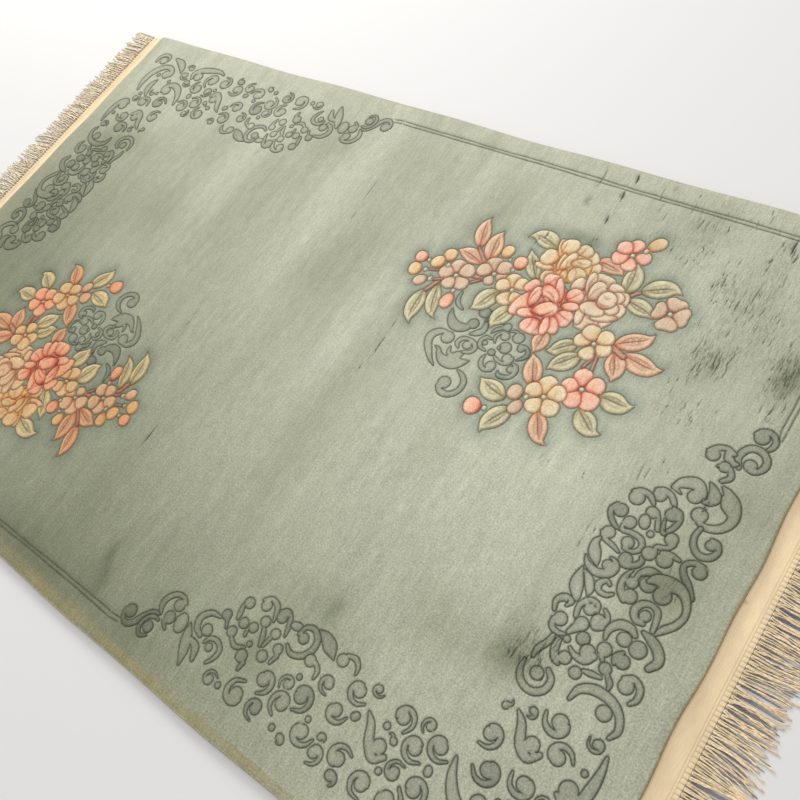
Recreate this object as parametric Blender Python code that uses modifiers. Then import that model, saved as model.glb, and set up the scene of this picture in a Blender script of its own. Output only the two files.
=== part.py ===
"""Carved wool pile rug with flat-woven ends and knotted fringes, lying flat.

Metres, +Z up. X runs along the rug's length, Y across it. The origin is the middle of the underside.
"""
import math
import random

import bpy
import bmesh
from mathutils import Matrix

# ---------------------------------------------------------------- driving sizes (metres)
PILE_LENGTH = 1.846        # pile field along X
PILE_WIDTH = 1.220         # pile field along Y
PILE_THICK = 0.0145        # foundation and pile together
EDGE_ROUND = 0.0050        # clipped pile rounds over at the rim
EDGE_SEGMENTS = 3
BAND_WIDTH = 0.039         # flat-woven end web
BAND_THICK = 0.0026
HEADER_WIDTH = 0.007       # row of knots that the fringe hangs from
FRINGE_REACH = 0.078       # longest strand past the header
FRINGE_THICK = 0.0040
STRAND_PITCH = 0.0104      # one knotted bundle of warps
STRAND_ROOT = 0.0072       # width of a bundle at its knot
STRAND_TIP = 0.0048        # width of a bundle at its end
GAP = 0.0003               # between touching pieces
MM = 1000.0                # millimetres in a metre
END_STEPS = 44             # outline points along an end
SIDE_STEPS = 52            # outline points along a side

# Unevenness of the rim: how far an edge strays from straight.
# edge, wavelength, amplitude, phase
RIM_WAVES = [
    dict(edge="right", wave=0.170, amp=0.0014, phase=0.6),
    dict(edge="right", wave=0.410, amp=0.0012, phase=2.1),
    dict(edge="left", wave=0.210, amp=0.0012, phase=1.4),
    dict(edge="left", wave=0.530, amp=0.0014, phase=0.2),
    dict(edge="far", wave=0.330, amp=0.0013, phase=0.9),
    dict(edge="far", wave=0.790, amp=0.0015, phase=2.7),
    dict(edge="near", wave=0.370, amp=0.0012, phase=1.9),
    dict(edge="near", wave=0.870, amp=0.0014, phase=0.4),
]

# The two ends: which way each one faces and how its strands lie.
# side: +1 or -1 along X; sway: sideways lean of the tips; drift: length of one slow lean; shortest: shortest strand
ENDS = [
    dict(name="right", side=1, sway=0.0040, drift=0.310, shortest=0.86, seed=11),
    dict(name="left", side=-1, sway=0.0030, drift=0.240, shortest=0.80, seed=23),
]


def stray(edge, along):
    """How far the named edge strays outward at a place along it."""
    total = 0.0
    for row in RIM_WAVES:
        if row["edge"] == edge:
            total += row["amp"] * math.sin(2 * math.pi * along / row["wave"] + row["phase"])
    return total


def end_x(side, y):
    """X of the pile's end edge at y."""
    name = "right" if side > 0 else "left"
    return side * (PILE_LENGTH / 2 + stray(name, y))


def side_y(side, x):
    """Y of the pile's long edge at x."""
    name = "far" if side > 0 else "near"
    # the stray fades towards the corners, so the ends keep their width
    fade = min(1.0, (PILE_LENGTH / 2 - abs(x)) / 0.06)
    return side * (PILE_WIDTH / 2 + stray(name, x) * max(0.0, fade))


def spread(low, high, steps):
    return [low + (high - low) * i / steps for i in range(steps + 1)]


def pile_outline():
    """The rim of the pile, anticlockwise from above."""
    points = []
    half_w, half_l = PILE_WIDTH / 2, PILE_LENGTH / 2
    for x in spread(-half_l, half_l, SIDE_STEPS)[1:-1]:
        points.append((x, side_y(-1, x)))
    for y in spread(-half_w, half_w, END_STEPS):
        points.append((end_x(1, y), y))
    for x in spread(half_l, -half_l, SIDE_STEPS)[1:-1]:
        points.append((x, side_y(1, x)))
    for y in spread(half_w, -half_w, END_STEPS):
        points.append((end_x(-1, y), y))
    return points


def band_outline(side):
    """The end web: its inner edge follows the pile, its outer edge is straight."""
    half_w = PILE_WIDTH / 2
    outer = side * (PILE_LENGTH / 2 + BAND_WIDTH)
    inner = [(end_x(side, y) + side * GAP, y) for y in spread(-half_w, half_w, END_STEPS)]
    return inner + [(outer, half_w), (outer, -half_w)]


def comb_teeth(end):
    """One row for each knotted bundle of the fringe: its middle at the root, its lean and its reach."""
    rng = random.Random(end["seed"])
    half_w = PILE_WIDTH / 2
    count = int(PILE_WIDTH / STRAND_PITCH)
    pitch = PILE_WIDTH / count
    teeth = []
    for i in range(count):
        y = -half_w + (i + 0.5) * pitch
        lean = end["sway"] * math.sin(2 * math.pi * y / end["drift"]) + rng.uniform(-0.0006, 0.0006)
        # bundles next to the corners lean in, so the comb stays as wide as the rug
        lean = max(-half_w - y + STRAND_TIP / 2, min(half_w - y - STRAND_TIP / 2, lean))
        share = 1.0 if i == count // 2 else rng.uniform(end["shortest"], 0.99)
        teeth.append(dict(y=y, lean=lean, reach=FRINGE_REACH * share))
    return teeth


def material(name, colour, roughness):
    mat = bpy.data.materials.new(name)
    mat.use_nodes = True
    shader = mat.node_tree.nodes["Principled BSDF"]
    shader.inputs["Base Color"].default_value = (*colour, 1.0)
    shader.inputs["Roughness"].default_value = roughness
    shader.inputs["Metallic"].default_value = 0.0
    mat.diffuse_color = (*colour, 1.0)
    return mat


def slab(name, outline, thick, mat, group, round_rim=0.0):
    """A flat piece with that outline, its underside on z = 0; its upper rim is rounded over.

    The outline is drawn in millimetres, so that its fine teeth fill cleanly, and the mesh is then brought to metres.
    """
    curve = bpy.data.curves.new(name + "_outline", "CURVE")
    curve.dimensions = "2D"
    curve.fill_mode = "BOTH"
    curve.extrude = thick / 2 * MM
    spline = curve.splines.new("POLY")
    spline.points.add(len(outline) - 1)
    for point, (x, y) in zip(spline.points, outline):
        point.co = (x * MM, y * MM, 0.0, 1.0)
    spline.use_cyclic_u = True
    holder = bpy.data.objects.new(name + "_curve", curve)
    group.objects.link(holder)
    bpy.context.view_layer.update()
    graph = bpy.context.evaluated_depsgraph_get()
    mesh = bpy.data.meshes.new_from_object(holder.evaluated_get(graph))
    mesh.name = name
    mesh.transform(Matrix.Scale(1.0 / MM, 4))
    bpy.data.objects.remove(holder)
    bpy.data.curves.remove(curve)

    solid = bmesh.new()
    solid.from_mesh(mesh)
    bmesh.ops.remove_doubles(solid, verts=solid.verts, dist=0.00002)
    if round_rim:
        top = max(v.co.z for v in solid.verts)
        lid = [f for f in solid.faces if all(abs(v.co.z - top) < 1e-6 for v in f.verts)]
        bmesh.ops.dissolve_faces(solid, faces=lid)
        rim = [
            e for e in solid.edges
            if len(e.link_faces) == 2
            and all(abs(v.co.z - top) < 1e-6 for v in e.verts)
            and any(abs(f.normal.z) < 0.5 for f in e.link_faces)
        ]
        bmesh.ops.bevel(
            solid, geom=rim, offset=round_rim, offset_type="OFFSET",
            segments=EDGE_SEGMENTS, profile=0.5, affect="EDGES", clamp_overlap=False,
        )
        bmesh.ops.triangulate(solid, faces=[f for f in solid.faces if len(f.verts) > 4])
    bmesh.ops.recalc_face_normals(solid, faces=solid.faces)
    solid.to_mesh(mesh)
    solid.free()
    mesh.materials.clear()
    mesh.materials.append(mat)
    piece = bpy.data.objects.new(name, mesh)
    group.objects.link(piece)
    piece.location = (0.0, 0.0, thick / 2)
    return piece


def comb(name, end, mat, group):
    """The fringe: a header strip along the web, from which each tooth is drawn out, given its thickness."""
    side, half_w = end["side"], PILE_WIDTH / 2
    start = PILE_LENGTH / 2 + BAND_WIDTH + GAP
    root = start + HEADER_WIDTH
    teeth = comb_teeth(end)
    # the header's cuts across its width: both sides of every tooth, and its two ends
    cuts = [-half_w]
    for tooth in teeth:
        cuts += [tooth["y"] - STRAND_ROOT / 2, tooth["y"] + STRAND_ROOT / 2]
    cuts.append(half_w)

    sheet = bmesh.new()
    bmesh.ops.create_grid(sheet, x_segments=1, y_segments=len(cuts) - 1, size=1.0)
    column = sorted({round(v.co.y, 5) for v in sheet.verts})
    place = {y: cuts[i] for i, y in enumerate(column)}
    for v in sheet.verts:
        v.co.x, v.co.y = (start if v.co.x < 0 else root) * side, place[round(v.co.y, 5)]
    edges = sorted(
        (e for e in sheet.edges if all(abs(v.co.x - side * root) < 1e-6 for v in e.verts)),
        key=lambda e: e.verts[0].co.y + e.verts[1].co.y,
    )
    for edge, tooth in zip(edges[1::2], teeth):
        drawn = bmesh.ops.extrude_edge_only(sheet, edges=[edge])["geom"]
        for v in (g for g in drawn if isinstance(g, bmesh.types.BMVert)):
            half = STRAND_TIP / 2 if v.co.y > tooth["y"] else -STRAND_TIP / 2
            v.co.x = side * (root + tooth["reach"])
            v.co.y = tooth["y"] + tooth["lean"] + half
    bmesh.ops.recalc_face_normals(sheet, faces=sheet.faces)
    if sheet.faces[:][0].normal.z < 0:
        bmesh.ops.reverse_faces(sheet, faces=sheet.faces)
    mesh = bpy.data.meshes.new(name)
    sheet.to_mesh(mesh)
    sheet.free()
    mesh.materials.append(mat)
    piece = bpy.data.objects.new(name, mesh)
    group.objects.link(piece)
    thick = piece.modifiers.new("thickness", "SOLIDIFY")
    thick.thickness = FRINGE_THICK
    thick.offset = 1.0
    return piece


def main():
    for obj in list(bpy.data.objects):
        bpy.data.objects.remove(obj, do_unlink=True)
    group = bpy.data.collections.new("chinese_art_deco_rug")
    bpy.context.scene.collection.children.link(group)

    wool = material("pile_wool", (0.42, 0.46, 0.37), 0.95)
    web = material("end_web_cotton", (0.80, 0.62, 0.42), 0.92)
    yarn = material("fringe_cotton", (0.82, 0.66, 0.46), 0.92)

    rug = bpy.data.objects.new("rug", None)
    group.objects.link(rug)

    pieces = [slab("rug_pile", pile_outline(), PILE_THICK, wool, group, EDGE_ROUND)]
    for end in ENDS:
        pieces.append(slab("end_band_" + end["name"], band_outline(end["side"]), BAND_THICK, web, group))
        pieces.append(comb("fringe_" + end["name"], end, yarn, group))
    for piece in pieces:
        piece.parent = rug


main()
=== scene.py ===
"""The finish of a carved wool rug: its relief, its colours, its webs and fringes, on a pale floor.

The relief is worked out in millimetres, seen from above, and brought to metres when a mesh is made.
"""
import math

import bpy
import numpy as np
from mathutils import Matrix, Vector
from mathutils.geometry import delaunay_2d_cdt
from mathutils.kdtree import KDTree


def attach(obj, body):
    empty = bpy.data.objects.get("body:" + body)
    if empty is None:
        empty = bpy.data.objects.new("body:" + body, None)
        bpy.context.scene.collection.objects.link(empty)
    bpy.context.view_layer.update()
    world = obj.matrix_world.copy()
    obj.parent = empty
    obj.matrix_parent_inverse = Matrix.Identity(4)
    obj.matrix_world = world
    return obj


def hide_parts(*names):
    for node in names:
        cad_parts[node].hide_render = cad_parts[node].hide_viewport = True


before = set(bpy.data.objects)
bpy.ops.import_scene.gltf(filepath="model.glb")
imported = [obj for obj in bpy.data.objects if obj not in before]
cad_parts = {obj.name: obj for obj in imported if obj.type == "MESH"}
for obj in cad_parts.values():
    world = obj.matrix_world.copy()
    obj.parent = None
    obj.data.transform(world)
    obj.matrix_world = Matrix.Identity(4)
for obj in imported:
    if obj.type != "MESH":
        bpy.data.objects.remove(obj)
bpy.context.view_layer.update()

MM = 0.001
RNG = np.random.default_rng(77)

# ---------------------------------------------------------------- sizes (millimetres), as in the CAD model
LENGTH, WIDTH, THICK = 1846.0, 1220.0, 14.5
BAND, HEADER, REACH, GAP = 39.0, 7.0, 78.0, 0.3
TOP = 13.9                 # level of the clipped pile
RIM_WAVES = [
    ("right", 170.0, 1.4, 0.6), ("right", 410.0, 1.2, 2.1),
    ("left", 210.0, 1.2, 1.4), ("left", 530.0, 1.4, 0.2),
    ("far", 330.0, 1.3, 0.9), ("far", 790.0, 1.5, 2.7),
    ("near", 370.0, 1.2, 1.9), ("near", 870.0, 1.4, 0.4),
]


def stray(edge, along):
    return sum(amp * math.sin(2 * math.pi * along / wave + phase) for e, wave, amp, phase in RIM_WAVES if e == edge)


def end_x(side, y):
    # the web shows a few millimetres wider in the middle of the right end
    drawn_in = 5.0 * math.exp(-((y - 60) / 320) ** 2) + 3.0 * math.exp(-((y + 8) / 38) ** 2) if side > 0 else 0.0
    return side * (LENGTH / 2 + stray("right" if side > 0 else "left", y) - drawn_in)


def side_y(side, x):
    fade = max(0.0, min(1.0, (LENGTH / 2 - abs(x)) / 60.0))
    return side * (WIDTH / 2 + stray("far" if side > 0 else "near", x) * fade)


# ---------------------------------------------------------------- colours
def lin(r, g, b):
    """A colour given in screen numbers, 0 to 255, as linear light."""
    out = []
    for c in (r, g, b):
        c = c / 255.0
        out.append(c / 12.92 if c <= 0.04045 else ((c + 0.055) / 1.055) ** 2.4)
    return np.array(out)


# each dyed part: at its root, in its body, at its far end, its edge darkened with painted shade, and its carved lines,
# darker dye with painted shade in the groove
DYES = {
    "coral": (lin(196, 96, 80), lin(228, 177, 153), lin(232, 192, 168), lin(204, 112, 92), lin(172, 78, 64)),
    "apricot": (lin(198, 138, 92), lin(215, 193, 157), lin(222, 204, 172), lin(200, 154, 110), lin(172, 116, 74)),
    "gold": (lin(196, 134, 82), lin(219, 188, 138), lin(226, 200, 154), lin(198, 148, 98), lin(170, 108, 62)),
    "mauve": (lin(164, 110, 94), lin(203, 176, 150), lin(210, 186, 160), lin(178, 136, 114), lin(140, 90, 76)),
    "cream": (lin(184, 136, 112), lin(218, 194, 167), lin(222, 203, 176), lin(190, 148, 124), lin(142, 100, 84)),
    "peach": (lin(198, 138, 110), lin(218, 184, 155), lin(218, 184, 155), lin(194, 138, 106), lin(136, 80, 60)),
    "green": (lin(158, 148, 108), lin(203, 194, 160), lin(202, 193, 158), lin(152, 140, 104), lin(92, 82, 54)),
    "bud_red": (lin(190, 82, 68), lin(224, 172, 146), lin(230, 186, 160), lin(200, 112, 90), lin(146, 72, 58)),
    "bud_gold": (lin(192, 126, 80), lin(214, 184, 142), lin(222, 196, 158), lin(192, 142, 98), lin(146, 94, 60)),
    "stem": (lin(166, 118, 102), lin(190, 146, 127), lin(186, 142, 124), lin(152, 108, 92), lin(108, 74, 62)),
    "dot": (lin(196, 200, 174), lin(200, 204, 178), lin(204, 208, 182), lin(170, 172, 144), lin(110, 92, 70)),
    "scroll": (lin(152, 154, 135), lin(154, 157, 138), lin(154, 157, 138), lin(128, 132, 112), lin(80, 84, 68)),
}
GROUND = lin(180, 187, 163) * np.array([0.936, 0.875, 0.90])
# painted shade of the raised flowers on the ground between and beside them
GROUND_SHADED_BY_FLOWERS = lin(158, 163, 145)      # between and beside the flowers
# border lines are darker dye with painted shade in their groove; cracks are painted shade
LINE_DYE_AND_SHADE = lin(76, 81, 62)
CRACK_SHADE = lin(40, 42, 32)
# the dye runs warmer where it is deeper, and so does the painted shade at its edges and in its lines
for _dye in ("coral", "apricot", "gold", "mauve", "cream", "peach", "bud_red", "bud_gold"):
    DYES[_dye] = tuple(c * np.array(f) for c, f in zip(DYES[_dye], (
        (1.0, 0.97, 0.88), (1.0, 0.985, 0.955), (0.975, 0.985, 0.975), (0.98, 0.93, 0.83), (0.94, 0.88, 0.77))))
FLOWERY = {"coral", "apricot", "gold", "mauve", "cream", "peach", "green", "bud_red", "bud_gold", "stem", "dot"}


# ---------------------------------------------------------------- shapes seen from above
def smooth(lo, hi, x):
    t = np.clip((x - lo) / (hi - lo), 0.0, 1.0)
    return t * t * (3 - 2 * t)


def run_through(rows, per=7):
    """A smooth run through rows of numbers, two or more columns."""
    p = np.array(rows, float)
    if len(p) == 2:
        t = np.linspace(0, 1, per + 1)[:, None]
        return p[0] * (1 - t) + p[1] * t
    ext = np.vstack([2 * p[0] - p[1], p, 2 * p[-1] - p[-2]])
    out = []
    for i in range(1, len(ext) - 2):
        a, b, c, d = ext[i - 1], ext[i], ext[i + 1], ext[i + 2]
        for k in range(per):
            t = k / per
            out.append(0.5 * (2 * b + (c - a) * t + (2 * a - 5 * b + 4 * c - d) * t * t + (-a + 3 * b - 3 * c + d) * t ** 3))
    out.append(ext[-2])
    return np.array(out)


def even(points, step, closed):
    """The same line with points at equal steps."""
    p = np.asarray(points, float)
    if closed:
        p = np.vstack([p, p[:1]])
    legs = np.hypot(*(p[1:] - p[:-1]).T)
    keep = np.concatenate([[True], legs > 1e-6])
    p = p[keep]
    legs = np.hypot(*(p[1:] - p[:-1]).T)
    run = np.concatenate([[0], np.cumsum(legs)])
    count = max(3 if closed else 1, int(round(run[-1] / step)))
    at = np.linspace(0, run[-1], count + 1)
    out = np.stack([np.interp(at, run, p[:, 0]), np.interp(at, run, p[:, 1])], 1)
    return out[:-1] if closed else out


def oval(x, y, a, b, angle=0.0, egg=0.0, count=40):
    t = np.linspace(0, 2 * math.pi, count, endpoint=False)
    u, v = a * np.cos(t), b * np.sin(t) * (1 + egg * np.cos(t))
    c, s = math.cos(angle), math.sin(angle)
    return np.stack([x + u * c - v * s, y + u * s + v * c], 1)


def strip(rows, per=7):
    """A band with round ends along a smooth run; rows of x, y and width."""
    run = run_through(rows, per)
    mid, half = run[:, :2], np.maximum(run[:, 2], 0.8) / 2
    way = np.gradient(mid, axis=0)
    way /= np.maximum(np.hypot(way[:, 0], way[:, 1]), 1e-9)[:, None]
    side = np.stack([-way[:, 1], way[:, 0]], 1)
    left, right = mid + side * half[:, None], mid - side * half[:, None]

    def cap(at, way_out, half_w):
        a0 = math.atan2(way_out[1], way_out[0])
        t = np.linspace(math.pi / 2, -math.pi / 2, 9)[1:-1]
        return np.stack([at[0] + half_w * np.cos(a0 + t), at[1] + half_w * np.sin(a0 + t)], 1)

    return np.vstack([left, cap(mid[-1], way[-1], half[-1]), right[::-1], cap(mid[0], -way[0], half[0])])


def petal_shape(x, y, length, width, angle, notch=0.0, wave=0.0, lobes=3, shift=0.0):
    """A rounded petal pointing along angle; notch draws its far end in, wave scallops its edge."""
    t = np.linspace(0, 2 * math.pi, 48, endpoint=False)
    u, v = np.cos(t), np.sin(t)
    far = np.maximum(u, 0)
    r = 1 + 0.06 * u - notch * np.exp(-(v / 0.34) ** 2) * (u > 0) * far + wave * np.cos(lobes * t + shift) * (0.35 + 0.65 * far)
    pu, pv = u * r * length / 2, v * r * width / 2 * (1 + 0.14 * u)
    c, s = math.cos(angle), math.sin(angle)
    return np.stack([x + pu * c - pv * s, y + pu * s + pv * c], 1)


def fan_petal(hub_x, hub_y, length, width, angle, start=3.6, notch=0.0):
    """A petal that opens from its flower's hub and ends round; length is measured from the hub."""
    t = np.linspace(0, 2 * math.pi, 44, endpoint=False)
    s = (1 - np.cos(t)) / 2
    half = width / 2 * np.sin(math.pi * s ** 1.40) ** 0.60
    v = np.where(t <= math.pi, half, -half)
    u = start + (length - start) * s
    u = u - notch * length * np.exp(-(v / (0.20 * width)) ** 2) * smooth(0.6, 1.0, s)
    c, q = math.cos(angle), math.sin(angle)
    return np.stack([hub_x + u * c - v * q, hub_y + u * q + v * c], 1)


def leaf_lines(base, tip, width, bow, hook, belly=0.44):
    """A leaf's outline, with the lines carved in it."""
    base, tip = np.array(base, float), np.array(tip, float)
    length = math.hypot(*(tip - base))
    u = (tip - base) / length
    n = np.array([-u[1], u[0]])

    def axis(s):
        return base + np.outer(s * length, u) + np.outer(length * (bow * 4 * s * (1 - s) + hook * 9.48 * s ** 3 * (1 - s)), n)

    s = np.linspace(0, 1, 26)
    power = math.log(0.5) / math.log(belly)
    half = width / 2 * np.sin(math.pi * s ** power) ** 0.8 * (1 - 0.42 * smooth(0.74, 0.97, s))
    half[0] = half[-1] = 0.3
    mid = axis(s)
    way = np.gradient(mid, axis=0)
    way /= np.hypot(way[:, 0], way[:, 1])[:, None]
    side = np.stack([-way[:, 1], way[:, 0]], 1)
    lean = 0.5 + 0.9 * bow
    left = mid + side * (half * (0.5 + lean))[:, None]
    right = mid - side * (half * (1.5 - lean))[:, None]
    outline = np.vstack([left, right[::-1][1:-1]])
    vein = axis(np.linspace(0.05, 0.80, 16))
    flip = 1.0 if bow >= 0 else -1.0
    s2 = np.linspace(0.14, 0.76, 14)
    rise = np.sin(math.pi * (s2 - 0.14) / 0.66) ** 0.8 * width * 0.20
    line2 = axis(s2) - flip * np.outer(rise, n)
    s3 = np.linspace(0.24, 0.66, 9)
    rise = np.sin(math.pi * (s3 - 0.16) / 0.62) ** 0.8 * width * 0.21
    line3 = axis(s3) + flip * np.outer(rise, n)
    return outline, [(vein, 1.2, 0.92), (line2, 0.8, 0.66), (line3, 0.5, 0.40)]


# ---------------------------------------------------------------- the drawing
class Drawing:
    """Shapes laid over one another in order, and the lines carved in them."""

    def __init__(self):
        self.shapes, self.creases, self.group = [], [], 0

    def add(self, outline, dye, root=None, far=None, crown=1.0, same=None, shade=1.0):
        if same is None:
            self.group += 1
            same = self.group
        outline = np.asarray(outline, float)
        centre = outline.mean(0)
        root = centre if root is None else np.array(root, float)
        far = centre if far is None else np.array(far, float)
        self.shapes.append(dict(outline=outline, dye=dye, root=root, far=far, crown=crown, group=same, shade=shade))
        return same

    def carve(self, points, depth=1.3, width=1.0, dark=0.8):
        self.creases.append(dict(points=np.asarray(points, float), depth=depth, width=width, dark=dark, after=len(self.shapes)))

    def moved(self, move, seed, shade_tone=1.0):
        """The same drawing moved point by point, each dyed shape a little lighter or darker; the last argument darkens
        the flowers with painted shade.
        """
        rng = np.random.default_rng(seed)
        other = Drawing()
        other.group = self.group
        for s in self.shapes:
            other.shapes.append(dict(
                s, outline=move(s["outline"]), root=move(s["root"][None])[0], far=move(s["far"][None])[0],
                shade=s["shade"] * rng.uniform(0.97, 1.03), shade_tone=shade_tone))
        other.creases = [dict(c, points=move(c["points"])) for c in self.creases]
        return other


def inside(points, polygon):
    """Which points lie in the polygon."""
    x, y = points[:, 0], points[:, 1]
    hit = np.zeros(len(points), bool)
    lo, hi = polygon.min(0), polygon.max(0)
    near = np.nonzero((x >= lo[0]) & (x <= hi[0]) & (y >= lo[1]) & (y <= hi[1]))[0]
    if not len(near):
        return hit
    px, py = x[near], y[near]
    flag = np.zeros(len(near), bool)
    a, b = polygon, np.roll(polygon, -1, axis=0)
    for (x0, y0), (x1, y1) in zip(a, b):
        if y0 == y1:
            continue
        crosses = (y0 > py) != (y1 > py)
        flag ^= crosses & (px < (x1 - x0) * (py - y0) / (y1 - y0) + x0)
    hit[near] = flag
    return hit


# ---------------------------------------------------------------- the bouquet: leaves and stems first, flowers over them
# base x, y, tip x, y, width, bow, hook, dye
LEAVES = [
    (254.5, 338.3, 238.3, 411.5, 31, 0.04, 0.03, "peach"),
    (286.8, 319.3, 279.2, 392.5, 34, 0.04, 0.03, "peach"),
    (278.0, 307.0, 216.5, 320.3, 32, -0.08, 0.00, "peach"),
    (209.8, 217.7, 226.0, 139.8, 33, -0.05, -0.03, "green"),
    (227.9, 237.6, 264.9, 168.3, 27, -0.06, -0.04, "green"),
    (341.0, 271.0, 309.6, 214.8, 38, -0.02, 0.04, "green"),
    (383.0, 252.0, 367.4, 194.9, 35, -0.04, -0.03, "green"),
    (390.0, 393.0, 325.7, 396.3, 37, -0.10, -0.05, "green"),
    (392.0, 315.0, 346.0, 375.0, 27, 0.03, 0.00, "green"),
    (466.0, 394.0, 524.8, 383.6, 32, 0.08, 0.00, "peach"),
    (541.8, 351.0, 533.0, 420.0, 34, -0.06, 0.00, "green"),
    (565.5, 365.6, 632.0, 385.5, 37, 0.08, 0.05, "green"),
    (551.0, 341.0, 609.2, 322.8, 32, 0.05, 0.02, "green"),
    (575.5, 253.0, 627.7, 300.5, 34, -0.02, -0.05, "peach"),
    (596.0, 243.5, 669.5, 245.4, 36, -0.06, -0.04, "peach"),
    (582.1, 240.5, 603.0, 187.5, 34, 0.06, 0.02, "peach"),
    (523.0, 232.0, 477.6, 196.0, 31, 0.00, 0.03, "green"),
    (536.0, 215.0, 498.5, 163.7, 34, 0.03, -0.03, "green"),
    (599.0, 158.0, 659.0, 167.5, 37, -0.04, -0.05, "green"),
    (582.0, 123.0, 637.2, 98.2, 36, -0.05, -0.06, "green"),
    (525.0, 90.0, 569.8, 42.1, 32, -0.03, -0.06, "peach"),
    (497.0, 126.0, 461.4, 183.5, 33, 0.02, -0.02, "peach"),
    (461.4, 232.0, 459.5, 182.6, 30, 0.00, 0.02, "peach"),
    (466.0, 88.0, 406.3, 103.7, 38, 0.06, 0.00, "green"),
    (485.0, 78.0, 459.5, 12.5, 35, -0.03, -0.03, "green"),
]
# x, y, x, y, width
STEMS = [
    (253.5, 339, 284, 312, 6.5), (226, 250, 212.6, 217, 8), (187, 257.5, 213, 265.5, 5), (212, 242, 226, 250, 6),
    (276.3, 279.5, 298, 279.4, 8), (281, 264, 293, 275, 6), (552, 350, 565, 364, 7), (574, 248.5, 600, 239.4, 10),
    (559.3, 224, 551, 194, 6), (562, 223, 567.5, 190, 6), (552, 338, 556, 341, 6), (497, 128, 492, 132, 6),
]
# centre x, y, dye, then petals of x, y, length, width
BLOSSOMS = [
    (311.5, 298.4, "mauve", [(328, 296.5, 25, 24), (299.1, 321.2, 27, 26), (323.8, 319.3, 27, 25), (287.8, 299.4, 28, 26), (309.6, 281.8, 21, 21)]),
    (360.3, 280.9, "apricot", [(351.4, 303, 26, 24), (371.3, 299.5, 27, 20), (338.6, 284.2, 27, 25), (356.6, 257.6, 27, 25), (374.5, 268.5, 26, 24)]),
    (246.9, 267.4, "mauve", [(239.3, 289.5, 27, 26), (264, 286.6, 26, 26), (266.4, 255.2, 29, 26), (242.6, 246.2, 26, 26), (223.4, 266.6, 27, 26)]),
    (517.5, 429.6, "coral", [(515.3, 451.3, 28, 27), (538.6, 430.6, 28, 27), (521, 408.2, 27, 26), (497.6, 417, 28, 26), (497.2, 441, 28, 27)]),
    (629.2, 344.7, "mauve", [(631.1, 367.2, 29, 36), (651, 345.8, 27, 38), (633, 322.4, 30, 36), (610.2, 344.4, 26, 36)]),
    (545.6, 241.2, "apricot", [(530.4, 260.8, 30, 28), (559.2, 260.8, 28, 26), (565.6, 237.2, 27, 27), (543.6, 219.8, 28, 25), (523, 240.6, 28, 26)]),
    (570.1, 156.5, "coral", [(560.6, 179.6, 31, 29), (589.6, 172.8, 29, 28), (592.6, 140.4, 31, 29), (564.6, 132, 31, 28), (548, 155.2, 28, 27)]),
    (521.7, 117.2, "apricot", [(516.2, 142.6, 31, 28), (540.6, 133.8, 28, 27), (542.6, 102.2, 29, 28), (513.2, 95.8, 30, 28), (499.2, 122.2, 29, 27)]),
]
# x, y, width, height, angle in degrees of the lower end towards the dot, dye
BUDS = [
    (308.6, 351.2, 24, 31, -95, "bud_gold"), (343.8, 337.4, 26, 31, -75, "bud_red"),
    (212.1, 302.2, 27, 31, -70, "bud_gold"), (198.8, 279.8, 28, 30, -25, "bud_gold"),
    (161.9, 278.5, 27, 26, 0, "bud_red"), (165.2, 250, 28, 30, 15, "bud_gold"),
    (188.9, 231.9, 23, 30, 45, "mauve"), (262, 213.9, 25, 36, 90, "bud_red"),
    (545.6, 464.4, 26, 38, -125, "bud_gold"), (475.7, 104.7, 28, 30, 0, "mauve"),
    (489, 81.9, 22, 31, 75, "mauve"), (423.8, 50.5, 32, 33, 12, "bud_red"),
]
DOTS = [
    (220.3, 281.7, 4.6), (179, 277.1, 4.2), (184.2, 255.7, 4.4), (205, 241.4, 5.2), (261.1, 235.7, 4.4), (534.7, 446.7, 5.0),
    (495.6, 104.7, 4.6), (443.4, 55.3, 4.6), (322, 338, 3.6), (338.5, 319.5, 4.0),
]


def add_petals(d, bx, by, dye, petals, many=None):
    """Petals that touch one another round a hub."""
    many = many or len(petals)
    for i, (x, y, length, width) in enumerate(petals):
        a = math.atan2(y - by, x - bx)
        away = math.hypot(x - bx, y - by)
        wide = max(width * 1.06, 2.20 * away * math.sin(math.pi / many))
        reach = away + length * 0.50
        notch = 0.12 if many == 4 else (0.03 if i % 2 else 0.0)
        tip = np.array([bx + reach * math.cos(a), by + reach * math.sin(a)])
        d.add(fan_petal(bx, by, reach, wide, a, 3.2, notch), dye, (bx, by), tip, crown=0.95)
        d.shapes[-1]["hub"] = True


def draw_bouquet():
    d = Drawing()
    for bx, by, tx, ty, width, bow, hook, dye in LEAVES:
        outline, lines = leaf_lines((bx, by), (tx, ty), width * 1.03, bow, hook * 1.6)
        d.add(outline, dye, (bx, by), (tx, ty), crown=0.9)
        for points, depth, dark in lines:
            d.carve(points, depth, 0.95, dark)
    for x0, y0, x1, y1, width in STEMS:
        d.add(strip([(x0, y0, width * 1.15), ((x0 + x1) / 2, (y0 + y1) / 2, width), (x1, y1, width * 1.1)]), "stem", (x0, y0), (x1, y1), crown=0.6)
    for x, y, w, h, angle, dye in BUDS:
        a = math.radians(angle)
        down = np.array([math.cos(a), math.sin(a)])
        along, across = (h, w) if abs(down[1]) > 0.5 else (w, h)
        body = petal_shape(x, y, along, across, a + math.pi, 0.0, 0.0)
        centre = np.array([x, y])
        d.add(body, dye, centre + down * along * 0.5, centre - down * along * 0.5, crown=1.25)
    for bx, by, dye, petals in BLOSSOMS:
        add_petals(d, bx, by, dye, petals)
        d.add(oval(bx, by, 4.7, 4.6), "dot", crown=0.9)
    for x, y, r in DOTS:
        d.add(oval(x, y, r, r * 1.15), "dot", crown=0.7)
    draw_peony_gold(d)
    draw_peony_cream(d)
    draw_peony_coral(d)
    # the apricot blossom and the green leaves beside it lie over the cream flower
    bx, by, dye, petals = BLOSSOMS[5]
    add_petals(d, bx, by, dye, petals[:2], len(petals))
    d.add(oval(bx, by, 4.7, 4.6), "dot", crown=0.9)
    return d


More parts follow.
